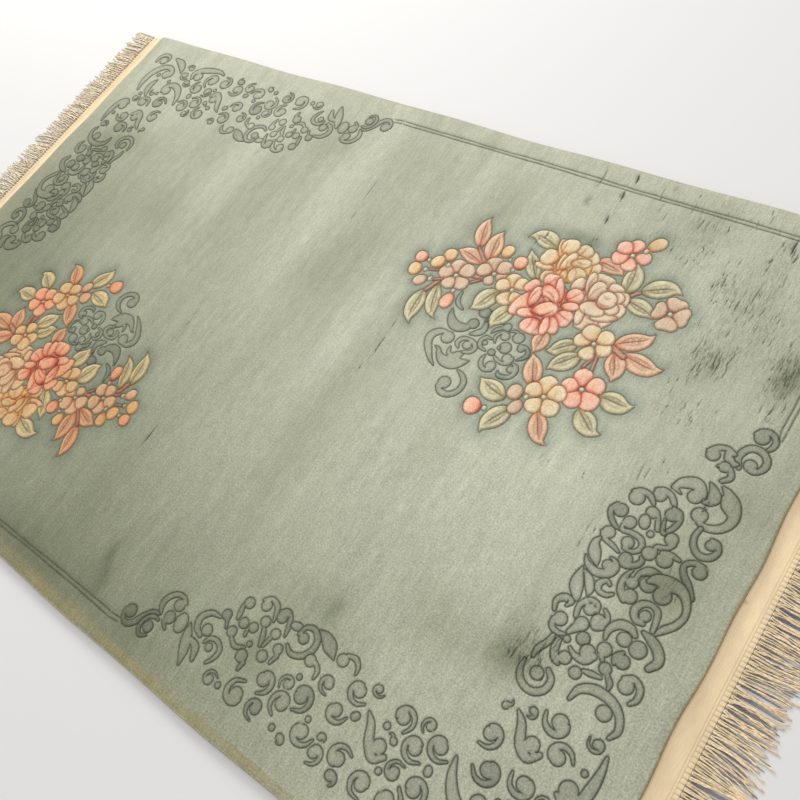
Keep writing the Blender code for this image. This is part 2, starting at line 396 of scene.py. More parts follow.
def petals_round(d, rows, dye, hub):
    """Rows of x, y, length, width, angle in degrees, notch, wave."""
    for x, y, length, width, angle, notch, wave in rows:
        a = math.radians(angle)
        reach = np.array([math.cos(a), math.sin(a)]) * length * 0.5
        at = np.array([x, y])
        d.add(petal_shape(x, y, length * 1.07, width * 1.07, a, notch, wave, 3, x * 0.31), dye, at - reach, at + reach, crown=0.85)


def draw_peony_gold(d):
    # a darker underlay that shows between the petals as painted shade
    d.add(petal_shape(430, 370, 70, 84, math.radians(100), 0.0, 0.04, 7), "apricot", (430, 366), (430, 366.5), crown=0.5, shade=0.72)
    petals_round(d, [
        (401, 335, 28, 20, -95, 0.0, 0.03), (388, 350, 36, 14, 182, 0.0, 0.03), (387, 371, 33, 34, 165, 0.14, 0.04),
        (470.5, 375, 27, 30, -3, 0.06, 0.05), (455, 395, 30, 27, 40, 0.05, 0.05), (438, 403, 32, 28, 72, 0.0, 0.05),
        (396.5, 396, 40, 13, 112, 0.0, 0.0), (409, 404, 36, 31, 92, 0.05, 0.04),
    ], "apricot", (434, 364))
    petals_round(d, [(437, 362, 58, 58, 95, 0.0, 0.02)], "gold", (434, 364))
    petals_round(d, [(411, 368, 38, 11, 95, 0.0, 0.0), (422, 374, 42, 18, 78, 0.0, 0.02), (444, 379, 34, 20, 22, 0.04, 0.02)], "apricot", (434, 364))
    d.add(petal_shape(449, 355, 36, 33, math.radians(-50), 0.04, 0.03), "apricot", (434, 368), (462, 343), crown=0.9)
    d.add(petal_shape(428, 346, 26, 13, math.radians(-78), 0.0), "gold", (426, 357), (430, 334), crown=0.8)
    d.carve(run_through([(440, 366), (447, 358), (451, 346)]), 0.8, 0.9, 0.55)
    d.carve(run_through([(434, 382), (446, 378), (456, 381)]), 0.8, 0.9, 0.6)
    d.carve(run_through([(420, 376), (424, 362), (424, 352)]), 1.0, 0.9, 0.7)
    d.carve(run_through([(397, 384), (401, 397), (400, 410)]), 1.0, 0.9, 0.7)
    d.carve(run_through([(431, 394), (437, 404), (436, 412)]), 1.0, 0.9, 0.7)


def draw_peony_cream(d):
    # a darker underlay that shows between the petals as painted shade
    d.add(petal_shape(512, 320, 84, 72, math.radians(100), 0.0, 0.04, 7), "cream", (512, 320), (512, 320.5), crown=0.5, shade=0.76)
    petals_round(d, [
        (464.9, 338, 24, 30, 170, 0.04, 0.03), (472.5, 319, 26, 22, 215, 0.0, 0.03), (499.1, 360.8, 28, 38, 90, 0.06, 0.05),
        (482, 347, 46, 17, 105, 0.0, 0.0), (527.6, 352.6, 22, 30, 65, 0.05, 0.04), (544, 338.5, 26, 30, 20, 0.08, 0.04),
        (546, 313, 28, 34, -15, 0.06, 0.05), (531, 290, 34, 38, -45, 0.05, 0.04), (512.4, 276, 36, 38, -90, 0.06, 0.05),
        (493.4, 287, 44, 15, -75, 0.0, 0.0),
    ], "cream", (520, 325))
    petals_round(d, [
        (537.1, 294.4, 44, 15, 200, 0.0, 0.0), (498.1, 337, 42, 25, 85, 0.03, 0.03), (508.6, 303.8, 28, 42, -90, 0.03, 0.03),
        (536, 338, 24, 22, 50, 0.03, 0.03), (537, 316, 26, 22, -50, 0.03, 0.03), (523, 326, 35, 31, 85, 0.0, 0.05),
    ], "cream", (520, 325))
    d.carve(run_through([(514, 318), (522, 314), (531, 318)]), 0.8, 0.9, 0.6)
    d.carve(run_through([(515, 334), (521, 329), (528, 333)]), 0.7, 0.9, 0.5)
    d.carve(run_through([(487, 330), (480, 345), (482, 362)]), 0.9, 0.9, 0.7)
    d.carve(run_through([(497, 296), (506, 284), (522, 281)]), 0.9, 0.9, 0.6)
    d.carve(run_through([(493, 324), (496, 338), (503, 349)]), 0.7, 0.9, 0.5)


def draw_peony_coral(d):
    # a darker underlay that shows between the petals as painted shade
    d.add(petal_shape(436, 276, 92, 80, math.radians(95), 0.0, 0.04, 7), "coral", (436, 276), (436, 276.5), crown=0.5, shade=0.62)
    petals_round(d, [
        (418, 326, 30, 32, 100, 0.06, 0.04), (391, 303, 25, 30, 152, 0.05, 0.05), (392, 267, 58, 27, 255, 0.0, 0.03),
        (468, 313, 30, 30, 48, 0.10, 0.04), (472, 266, 33, 32, -14, 0.06, 0.05), (431, 230, 32, 40, -96, 0.06, 0.05),
        (462, 246, 36, 21, -56, 0.0, 0.03), (451, 241, 38, 15, -76, 0.0, 0.0), (471, 291, 31, 17, 18, 0.04, 0.03),
        (440, 313, 50, 14, 118, 0.0, 0.0), (410, 251, 34, 19, 205, 0.0, 0.03),
    ], "coral", (440, 285))
    petals_round(d, [(405, 284, 42, 18, 96, 0.0, 0.02), (426, 302, 43, 24, -37, 0.0, 0.03), (434, 268, 45, 28, 33, 0.03, 0.03)], "coral", (440, 285))
    d.carve(run_through([(414, 292), (428, 291), (448, 283)]), 1.3, 1.0, 0.95)
    d.carve(run_through([(412, 256), (424, 254), (438, 256), (450, 270)]), 1.3, 1.0, 0.95)
    d.carve(run_through([(418, 302), (430, 300), (442, 291)]), 1.0, 0.9, 0.7)
    d.carve(run_through([(401, 270), (401, 284), (405, 300)]), 0.9, 0.9, 0.7)
    d.carve(run_through([(458, 300), (467, 308), (476, 322)]), 0.9, 0.9, 0.7)
    d.carve(run_through([(458, 273), (470, 267), (484, 264)]), 0.9, 0.9, 0.75)
    d.carve(run_through([(412, 316), (418, 326), (420, 336)]), 0.8, 0.9, 0.65)
    d.carve(run_through([(425, 246), (428, 232), (426, 218)]), 0.8, 0.9, 0.65)
    d.carve(run_through([(440, 244), (442, 230), (440, 220)]), 0.7, 0.9, 0.55)


# ---------------------------------------------------------------- carved scrollwork
# A group is one figure: balls of (x, y, radius[, second radius, angle]) and bands of (x, y, width) rows.
BOUQUET_SCROLLS = [
    ([(336, 190, 10.5)], [[(283, 202, 3), (290, 187, 13), (302, 175, 20), (316, 173, 20), (329, 179, 14), (333, 187, 6)]]),
    ([], [[(352, 206, 4), (358, 197, 9), (359, 184, 13), (351, 175, 12), (342, 169, 4)]]),
    ([], [[(279, 240, 5), (281, 224, 9), (288, 214, 9), (300, 208, 5)]]),
    ([(343, 219, 12.5, 11, 0)], [[(352, 226, 4), (357, 216, 5), (354, 204, 3)]]),
    ([(309, 146, 12.5)], [[(318, 86, 2), (305, 95, 8), (291, 110, 13), (281, 124, 15), (279, 138, 16), (288, 150, 14), (300, 155, 8)]]),
    ([], [[(299, 121, 3), (307, 119, 7), (317, 108, 13), (331, 103, 23), (347, 106, 26), (361, 113, 15), (371, 121, 2)], [(342, 114, 22), (347, 124, 15), (352, 131, 8)], [(325, 132, 3), (327, 122, 8), (337, 115, 10)]]),
    ([(350, 147, 8.5)], [[(338, 136, 4), (331, 144, 9), (335, 155, 9), (347, 159, 7), (359, 156, 9), (366, 147, 9), (362, 137, 8), (351, 132, 6)]]),
    ([(355, 66, 12)], [[(363, 97, 4), (375, 92, 9), (385, 82, 11), (387, 68, 11), (382, 56, 11), (371, 48, 12), (358, 48, 12), (348, 56, 9)]]),
    ([(395, 209, 8.5)], [[(388, 204, 7), (380, 197, 8), (376, 187, 3)]]),
    ([(425, 198, 11)], [[(418, 208, 6), (410, 207, 6), (404, 202, 3)]]),
    ([(402, 191, 8.5)], [[(396, 199, 5), (389, 191, 7), (387, 181, 7), (392, 172, 3)]]),
    ([(440, 181, 7)], [[(434, 185, 5), (444, 187, 7), (453, 182, 8), (456, 172, 8), (450, 163, 6), (444, 157, 3)]]),
    ([(414, 171, 11.5)], []),
    ([(376, 165, 5)], [[(382, 176, 4), (373, 176, 8), (367, 166, 8), (372, 155, 8), (385, 151, 4)]]),
    ([(397, 153, 7)], []),
    ([(428, 154, 9)], [[(405, 149, 4), (413, 144, 7), (426, 142, 7), (436, 148, 8), (437, 159, 5)]]),
    ([(410, 129, 9.5)], [[(390, 144, 4), (389, 133, 8), (394, 123, 9), (404, 118, 8), (416, 121, 4)]]),
    ([(445, 138, 7)], [[(442, 149, 5), (451, 146, 8), (455, 136, 9), (451, 125, 9), (442, 120, 9), (431, 119, 8), (427, 126, 3)]]),
    ([(382, 214, 4)], []), ([(404, 166, 3.5)], []),
]

CORNER_END = [
    ([(846, 200, 11.5)], [[(835, 202, 6), (842, 211, 8), (854, 213, 9), (865, 204, 10), (865, 191, 9), (858, 181, 5)]]),
    ([(850, 151, 10)], [[(837, 141, 8), (830, 158, 11), (838, 176, 12), (854, 179, 12), (867, 169, 11), (868, 155, 11), (859, 144, 9), (850, 143, 6)]]),
    ([(797, 144, 10.5)], [[(824, 158, 7), (812, 162, 9), (798, 157, 10), (789, 147, 8)], [(815, 156, 10), (820, 147, 14), (828, 143, 12), (834, 145, 6)]]),
    ([(820, 133, 9)], [[(811, 130, 5), (818, 137, 7), (830, 131, 9), (834, 120, 10), (826, 111, 8)]]),
    ([(804, 71, 11)], [[(771, 71, 8), (780, 83, 17), (797, 90, 20), (810, 83, 14), (816, 76, 5)], [(773, 71, 8), (784, 66, 4)]]),
    ([], [[(814, 101, 4), (822, 93, 13), (828, 82, 20), (825, 73, 14), (817, 68, 4)]]),
    ([(822, 48, 12)], [[(832, 103, 5), (842, 97, 14), (855, 84, 21), (864, 66, 17), (861, 50, 14), (850, 39, 13), (836, 35, 11), (824, 38, 8)], [(838, 90, 5), (846, 78, 12), (857, 68, 8)]]),
    ([(855, 14, 8)], [[(832, 30, 8), (830, 16, 9), (835, 2, 10), (847, -7, 11), (861, -3, 11), (867, 9, 10), (862, 20, 9), (853, 22, 7)]]),
    ([(760, 50, 10.5)], [[(752, 55, 7), (761, 60, 9), (774, 57, 10), (783, 48, 9), (787, 43, 5)]]),
    ([(733, 31, 12)], [[(724, 38, 7), (734, 44, 9), (747, 43, 10), (756, 36, 8), (760, 31, 4)]]),
    ([(763, 20, 9.5)], [[(769, 24, 7), (775, 14, 8), (781, 0, 8)]]),
    ([(789, 30, 10.5)], [[(783, 20, 4), (786, 8, 7), (791, -1, 8), (799, 12, 9), (802, 26, 9), (797, 38, 8), (785, 41, 5)]]),
    ([(760, 2, 8.5, 12, 20)], []),
    ([(775.6, -11, 5.5)], []),
    ([(722, 2, 11)], [[(713, 8, 8), (709, -3, 9), (715, -15, 9), (725, -23, 8), (734, -26, 4)]]),
    ([(742, -9, 10), (754, -38, 9.5)], [[(735, -14, 6), (738, -24, 8), (752, -22, 9), (768, -25, 10), (774, -37, 9), (766, -47, 8), (753, -48, 7)]]),
    ([(805, -4, 10), (787, -38, 10.5)], [[(812, -10, 7), (804, -20, 9), (792, -24, 8), (794, -34, 7)]]),
    ([(810, -36, 12)], [[(802, -28, 7), (813, -25, 9), (828, -27, 6)]]),
    ([(859, -29, 10.5)], [[(860, -20, 9), (847, -20, 9), (837, -29, 9), (841, -41, 10), (854, -54, 11), (866, -68, 8)]]),
    ([(723, -37, 10)], [[(714, -40, 6), (721, -48, 8), (736, -52, 8), (749, -57, 5)]]),
    ([], [[(716, -51, 6), (714, -61, 13), (720, -74, 19), (728, -84, 12), (732, -90, 4)]]),
    ([(746, -82, 8.5)], [[(711, -84, 3), (720, -94, 10), (736, -99, 13), (751, -93, 14), (757, -81, 12), (752, -72, 8), (744, -70, 4)]]),
    ([(763, -61, 10)], [[(756, -66, 6), (765, -71, 8), (778, -64, 10), (784, -54, 9), (780, -48, 5)]]),
    ([(793, -107, 11), (787, -88, 9), (807, -79, 12)], [[(779, -71, 5), (774, -88, 9), (778, -105, 11), (788, -116, 9)], [(789, -84, 7), (790, -71, 9), (800, -61, 13), (814, -57, 5)]]),
    ([(831, -84, 13)], [[(806, -74, 8), (815, -67, 18), (833, -64, 22), (850, -65, 17), (863, -77, 12), (869, -94, 10), (864, -112, 11), (853, -126, 11), (847, -136, 6)]]),
    ([(824, -121, 8.5)], [[(842, -136, 7), (840, -122, 9), (836, -108, 10), (824, -103, 9), (812, -109, 11), (808, -121, 12), (815, -132, 10), (826, -132, 8)]]),
    ([], [[(716, -101, 3), (718, -117, 15), (722, -131, 20), (730, -145, 12), (732, -150, 4)], [(722, -105, 5), (734, -115, 14), (741, -127, 12), (742, -134, 5)]]),
    ([], [[(762, -106, 6), (755, -103, 8), (748, -112, 11), (752, -121, 9), (764, -122, 8), (772, -116, 5)]]),
    ([(755, -151, 9)], [[(766, -151, 5), (762, -140, 8), (749, -139, 9), (740, -152, 9), (742, -167, 8), (745, -172, 5)]]),
    ([(773, -160, 10.5)], [[(766, -168, 5), (774, -171, 7), (784, -161, 9), (781, -148, 8), (773, -141, 5)]]),
    ([], [[(712, -177, 6), (708, -164, 9), (716, -154, 12), (727, -155, 10), (724, -163, 5)]]),
    ([(726, -184, 10.5)], [[(717, -188, 7), (720, -198, 9), (730, -203, 9), (742, -200, 5)]]),
    ([(755, -175, 10.5)], [[(751, -183, 14), (745, -194, 8)]]),
    ([(748, -204, 5.5)], []),
    ([(767, -192, 10)], []),
    ([(781, -205, 11)], [[(757, -212, 5), (768, -218, 9), (783, -217, 12), (791, -206, 11)]]),
    ([(799, -190, 10.5)], [[(800, -200, 8), (804, -205, 6)]]),
    ([(815, -164, 10.5)], [[(792, -176, 6), (791, -162, 11), (800, -149, 14), (815, -146, 13), (825, -152, 8)]]),
    ([(837, -167, 12.5)], [[(832, -142, 6), (846, -146, 14), (860, -155, 15), (867, -168, 14), (860, -182, 10)]]),
    ([(827, -192, 10.5)], [[(818, -200, 6), (815, -190, 8), (822, -181, 6)]]),
    ([], [[(729, -210, 8), (727, -222, 10), (720, -236, 10), (719, -249, 6)]]),
    ([(758, -228, 9.5)], [[(739, -211, 9), (740, -224, 12), (747, -236, 11), (754, -240, 6)]]),
    ([(736, -266, 10)], [[(712, -258, 5), (713, -274, 9), (724, -288, 11), (742, -291, 11), (756, -280, 11), (757, -264, 10), (747, -254, 7)]]),
    ([(838, -264, 11)], [[(790, -272, 6), (796, -254, 12), (814, -244, 15), (838, -245, 14), (856, -256, 12), (864, -274, 10), (858, -288, 6)]]),
    ([(780, -238, 9)], [[(788, -230, 6), (800, -228, 9), (812, -226, 6)]]),
    ([(846, -218, 11)], [[(838, -210, 6), (850, -204, 9), (863, -211, 10), (866, -226, 9), (860, -236, 6)]]),
    ([(812, -212, 9)], [[(818, -218, 7), (826, -226, 9), (828, -234, 5)]]),
]

CORNER_SIDE = [
    ([(116, -537, 11.5)], [[(105, -538, 6), (109, -551, 8), (122, -557, 11), (134, -548, 12), (143, -532, 12), (154, -519, 12), (166, -513, 6)]]),
    ([(162, -540, 10)], [[(169, -552, 5), (157, -558, 7), (147, -547, 8), (150, -531, 8), (160, -522, 8), (171, -522, 5)]]),
    ([(188, -484, 10.5)], [[(197, -476, 6), (187, -470, 8), (171, -473, 10), (160, -487, 11), (160, -501, 10), (167, -511, 5)]]),
    ([(186, -508, 11)], [[(181, -518, 9), (191, -527, 5)]]),
    ([(210, -504, 12, 17, 10)], []),
    ([], [[(226, -496, 4), (233, -512, 17), (243, -532, 18), (252, -555, 4)], [(240, -512, 5), (258, -519, 14), (267, -537, 7)]]),
    ([(258, -488, 10)], [[(265, -460, 5), (247, -463, 10), (235, -478, 12), (240, -494, 11), (253, -501, 8)]]),
    ([(272, -451, 9)], [[(278, -457, 7), (284, -468, 5)]]),
    ([(294, -416, 9.5)], [[(287, -424, 7), (290, -436, 9), (292, -446, 6)]]),
    ([(279, -507, 7)], [[(267, -505, 5), (272, -495, 8), (286, -492, 9), (298, -500, 9), (298, -514, 8), (290, -528, 5)]]),
    ([(322, -404, 9.5)], [[(313, -399, 6), (323, -391, 8), (338, -395, 10), (345, -407, 8), (348, -418, 4)]]),
    ([(357, -405, 9.5)], [[(349, -399, 6), (359, -392, 8), (370, -399, 9), (376, -413, 8), (379, -426, 4)]]),
    ([(387, -403, 11, 7, 15)], []),
    ([(408, -412, 9)], [[(397, -411, 6), (402, -396, 8), (417, -392, 10), (430, -404, 11), (430, -422, 11), (419, -436, 10), (403, -441, 9), (391, -434, 6)]]),
    ([], [[(424, -388, 4), (438, -391, 17), (454, -400, 22), (468, -411, 4)]]),
    ([(482, -404, 10)], [[(486, -394, 7), (499, -392, 9), (509, -400, 7), (511, -410, 4)]]),
    ([(337, -425, 9)], [[(341, -434, 7), (348, -446, 9), (352, -459, 6)]]),
    ([(325, -443, 8.5)], [[(318, -450, 6), (320, -460, 6)]]),
    ([(306, -446, 9)], []),
    ([(297, -467, 9)], [[(303, -475, 7), (316, -482, 9), (331, -475, 6)]]),
    ([(336, -466, 5)], []),
    ([(364, -431, 8.5)], [[(360, -441, 7), (357, -456, 6)]]),
    ([(382, -447, 8.5)], [[(387, -456, 8), (383, -470, 6)]]),
    ([(366, -469, 9.5)], []),
    ([(336, -487, 10.5)], [[(345, -494, 9), (344, -506, 6)]]),
    ([(438, -432, 9.5)], [[(447, -430, 7), (457, -438, 8), (458, -450, 5)]]),
]

# where the two arms meet: the large figures listed, the small ones fill in between
CORNER_MEET = [
    ([(800, -498, 13)], [[(846, -430, 6), (852, -455, 14), (849, -486, 19), (832, -512, 19), (808, -521, 15), (789, -511, 12), (786, -497, 8)]]),
    ([(756, -452, 12)], [[(700, -420, 5), (708, -444, 14), (726, -466, 18), (750, -474, 17), (769, -462, 13), (768, -446, 8)]]),
    ([(846, -536, 12)], [[(832, -540, 6), (836, -552, 9), (852, -555, 11), (866, -545, 11), (867, -528, 8)]]),
    ([(700, -520, 13)], [[(630, -546, 5), (650, -552, 12), (680, -548, 18), (706, -540, 17), (720, -526, 13), (716, -510, 8)]]),
    ([(846, -372, 13)], [[(868, -310, 5), (870, -330, 11), (869, -354, 16), (864, -378, 15), (850, -390, 12), (835, -384, 7)]]),
    ([], [[(762, -516, 4), (770, -530, 16), (788, -545, 19), (812, -553, 6)]]),
    ([], [[(806, -420, 5), (816, -438, 16), (818, -458, 15), (812, -474, 5)]]),
    ([(600, -470, 11)], [[(560, -440, 4), (572, -452, 12), (584, -474, 15), (600, -488, 13), (614, -478, 9)]]),
    ([(778, -350, 11)], [[(740, -322, 4), (752, -334, 12), (764, -358, 15), (780, -368, 13), (793, -356, 9)]]),
]
MEET_AREA = np.array([(292, -557), (874, -557), (874, -292), (704, -296), (704, -392), (512, -396), (440, -450), (292, -535)], float)


def draw_figures(d, figures, rng, dye="scroll"):
    for balls, bands in figures:
        d.group += 1
        shade = rng.uniform(0.94, 1.03) if rng.random() < 0.75 else rng.uniform(0.78, 0.9)
        for ball in balls:
            x, y, r = ball[:3]
            r2 = ball[3] if len(ball) > 3 else r
            angle = math.radians(ball[4]) if len(ball) > 4 else 0.0
            d.add(oval(x, y, r, r2, angle), dye, same=d.group, crown=0.5, shade=shade)
        for rows in bands:
            d.add(strip(rows), dye, same=d.group, crown=0.5, shade=shade)


def comma(x, y, r, angle, length, bend):
    """A ball with a tail that leaves its side and turns as it goes."""
    a = math.radians(angle)
    step = length / 4
    px, py = x + 0.75 * r * math.cos(a + math.pi / 2), y + 0.75 * r * math.sin(a + math.pi / 2)
    rows = [(px - step * 0.5 * math.cos(a), py - step * 0.5 * math.sin(a), r * 0.5)]
    for i in range(4):
        rows.append((px, py, (r * 0.85, r * 0.95, r * 0.8, r * 0.45)[i]))
        px, py = px + step * math.cos(a), py + step * math.sin(a)
        a += math.radians(bend) / 3
    return ([(x, y, r)], [rows])


def curl(x, y, r, angle, sense, sweep):
    """A ball with a band that starts at its edge and winds away round it."""
    rows = []
    for k, wide in enumerate((0.5, 0.7, 0.82, 0.88, 0.8, 0.62, 0.36)):
        a = math.radians(angle + sense * sweep * k / 6)
        away = r * (0.95 + 1.05 * (k / 6) ** 1.15)
        rows.append((x + away * math.cos(a), y + away * math.sin(a), r * wide))
    return ([(x, y, r)], [rows])


def draw_corner():
    rng = np.random.default_rng(5)
    d = Drawing()
    draw_figures(d, CORNER_END + CORNER_SIDE + CORNER_MEET, rng)
    taken = np.vstack([s["outline"] for s in d.shapes if s["outline"][:, 1].min() < -240 or s["outline"][:, 0].max() < 560])
    solids = [s["outline"] for s in d.shapes]
    lo, hi = MEET_AREA.min(0), MEET_AREA.max(0)
    for kind, size, tries in (("curl", 1.05, 520), ("curl", 0.82, 420), ("comma", 0.9, 320), ("curl", 0.62, 360), ("comma", 0.62, 260), ("ball", 0.5, 160)):
        for _ in range(tries):
            x, y = rng.uniform(lo, hi)
            r = rng.uniform(9.5, 11.5) * size
            if kind == "curl":
                figure = curl(x, y, r, rng.uniform(0, 360), rng.choice([-1, 1]), rng.uniform(190, 290))
            elif kind == "comma":
                figure = comma(x, y, r * 0.9, rng.uniform(0, 360), rng.uniform(26, 44) * size, rng.choice([-1, 1]) * rng.uniform(90, 170))
            else:
                figure = ([(x, y, r)], [])
            shapes = [oval(*figure[0][0][:2], figure[0][0][2], figure[0][0][2], count=14)] + [strip(rows, 3) for rows in figure[1]]
            points = np.vstack(shapes)
            if not inside(points, MEET_AREA).all():
                continue
            close = taken[(np.abs(taken - (x, y)) < 70).all(1)]
            if len(close) and np.sqrt(((points[:, None, :] - close[None]) ** 2).sum(2).min()) < 3.3:
                continue
            if any(inside(points[:1], s).any() for s in solids):
                continue
            draw_figures(d, [figure], rng)
            taken = np.vstack([taken, points])
            solids += shapes
    return d


def draw_bouquet_scrolls(d):
    draw_figures(d, BOUQUET_SCROLLS, np.random.default_rng(9))


# ---------------------------------------------------------------- border lines, cracks and nap, over the whole rug
def wavy(points, amp, seed):
    """A line strayed a little sideways."""
    p = even(points, 4.0, False)
    run = np.arange(len(p)) * 4.0
    way = np.gradient(p, axis=0)
    way /= np.hypot(way[:, 0], way[:, 1])[:, None]
    side = np.stack([-way[:, 1], way[:, 0]], 1)
    off = amp * (np.sin(run / 61.0 + seed) + 0.6 * np.sin(run / 23.0 + 2.3 * seed) + 0.35 * np.sin(run / 9.0 + seed * 5.1))
    return p + side * off[:, None]


BORDER = [
    # inner and outer line, each from the end arm's top round the plain corner to the side arm's start
    wavy([(868.5, 206), (865.0, 222), (864.6, 300), (864.2, 440), (864.4, 546), (860, 555), (846, 558.4), (600, 558.2), (300, 558.6), (0, 558.0), (-92, 558.2), (-106, 556.5)], 0.45, 1.0),
    wavy([(872.0, 206), (873.0, 222), (872.2, 300), (872.6, 440), (872.0, 552), (867, 563), (852, 566.2), (600, 565.4), (300, 566.0), (0, 565.2), (-92, 565.6), (-108, 563.5)], 0.55, 2.2),
]
BORDER += [-line for line in BORDER]

# x, y, x, y, half width, depth, darkness of the painted shade in the crack
CRACKS = [
    (442.5, 601.0, 447.0, 577.0, 1.9, 3.2, 1.0), (436.5, 556.0, 440.0, 533.0, 2.1, 3.4, 1.0), (436.7, 495.0, 440.0, 473.5, 1.7, 3.0, 1.0),
    (383.4, 590.0, 385.0, 548.0, 1.1, 2.2, 0.8), (382.0, 524.4, 381.7, 498.7, 1.3, 2.2, 0.8), (748.1, 560.0, 748.5, 524.0, 1.6, 3.0, 0.9),
    (727.4, 509.0, 725.9, 497.0, 1.5, 2.6, 0.9), (-41.9, 412.0, -38.7, 353.0, 1.1, 1.6, 0.6), (-33.6, 322.0, -31.4, 297.0, 1.0, 1.5, 0.5),
    (201.0, 104.5, 203.0, 52.0, 1.1, 2.0, 0.75), (-92.5, -257.0, -93.0, -306.0, 1.3, 1.8, 0.95), (716.7, 90.0, 720.3, 45.0, 1.0, 1.6, 0.5),
    (676.9, 450.0, 679.8, 418.0, 1.2, 2.2, 0.7), (734.1, 452.0, 733.7, 409.0, 1.2, 2.2, 0.7), (716.0, 412.0, 716.1, 386.0, 1.2, 2.2, 0.7),
    (355.4, 424.0, 356.0, 402.0, 1.4, 2.4, 0.85), (500.0, 586.0, 502.0, 566.0, 0.9, 1.6, 0.6), (566.0, 572.0, 566.5, 548.0, 1.0, 1.8, 0.6),
    (607.0, 571.0, 609.0, 560.0, 1.2, 2.0, 0.7), (688.0, 604.0, 690.0, 592.0, 1.2, 2.0, 0.7),
]
# where short cracks gather: x, y, half size x, half size y, how many, the longest
CRACKED = [
    (722, 288, 30, 30, 46, 15), (745, 290, 8, 22, 8, 22), (830, 306, 20, 36, 64, 10), (838, 240, 18, 26, 18, 13), (735, 190, 46, 22, 20, 14),
    (722, -236, 26, 30, 12, 15), (716, 424, 52, 34, 30, 14), (612, 495, 28, 50, 24, 15), (745, 505, 24, 48, 14, 17),
    (560, 500, 40, 40, 6, 17), (610, 560, 90, 36, 10, 14), (439, 470, 6, 70, 9, 17), (384, 540, 4, 50, 4, 17),
    (735, 120, 18, 60, 6, 15), (198, 60, 3, 70, 4, 17), (700, 340, 36, 36, 10, 13), (815, 420, 30, 110, 9, 15),
    (-700, -440, 50, 60, 6, 15), (-722, -250, 22, 40, 8, 15), (-440, -520, 10, 60, 3, 15), (-200, -75, 3, 60, 4, 17), (705, -60, 12, 60, 5, 17),
    (600, 60, 50, 40, 6, 12), (345, 395, 8, 12, 3, 12), (716, -246, 34, 26, 26, 12), (850, 316, 14, 26, 16, 16), (764, 372, 26, 40, 16, 11),
    (680, 470, 14, 60, 8, 14), (505, 545, 22, 50, 8, 13), (822, 60, 14, 16, 6, 12), (836, -70, 12, 26, 6, 12), (690, 240, 22, 26, 8, 10),
]
_rng = np.random.default_rng(31)
for cx, cy, sx, sy, many, longest in CRACKED:
    for _ in range(int(many * 0.72 + 0.5)):
        x, y = cx + sx * _rng.uniform(-1, 1), cy + sy * _rng.uniform(-1, 1)
        long = _rng.uniform(0.55 * longest, 1.5 * longest)
        tilt = _rng.normal(0, 0.05)
        CRACKS.append((x - tilt * long, y + long / 2, x + tilt * long, y - long / 2, _rng.uniform(0.62, 1.02), _rng.uniform(0.9, 1.9), _rng.uniform(0.30, 0.92)))
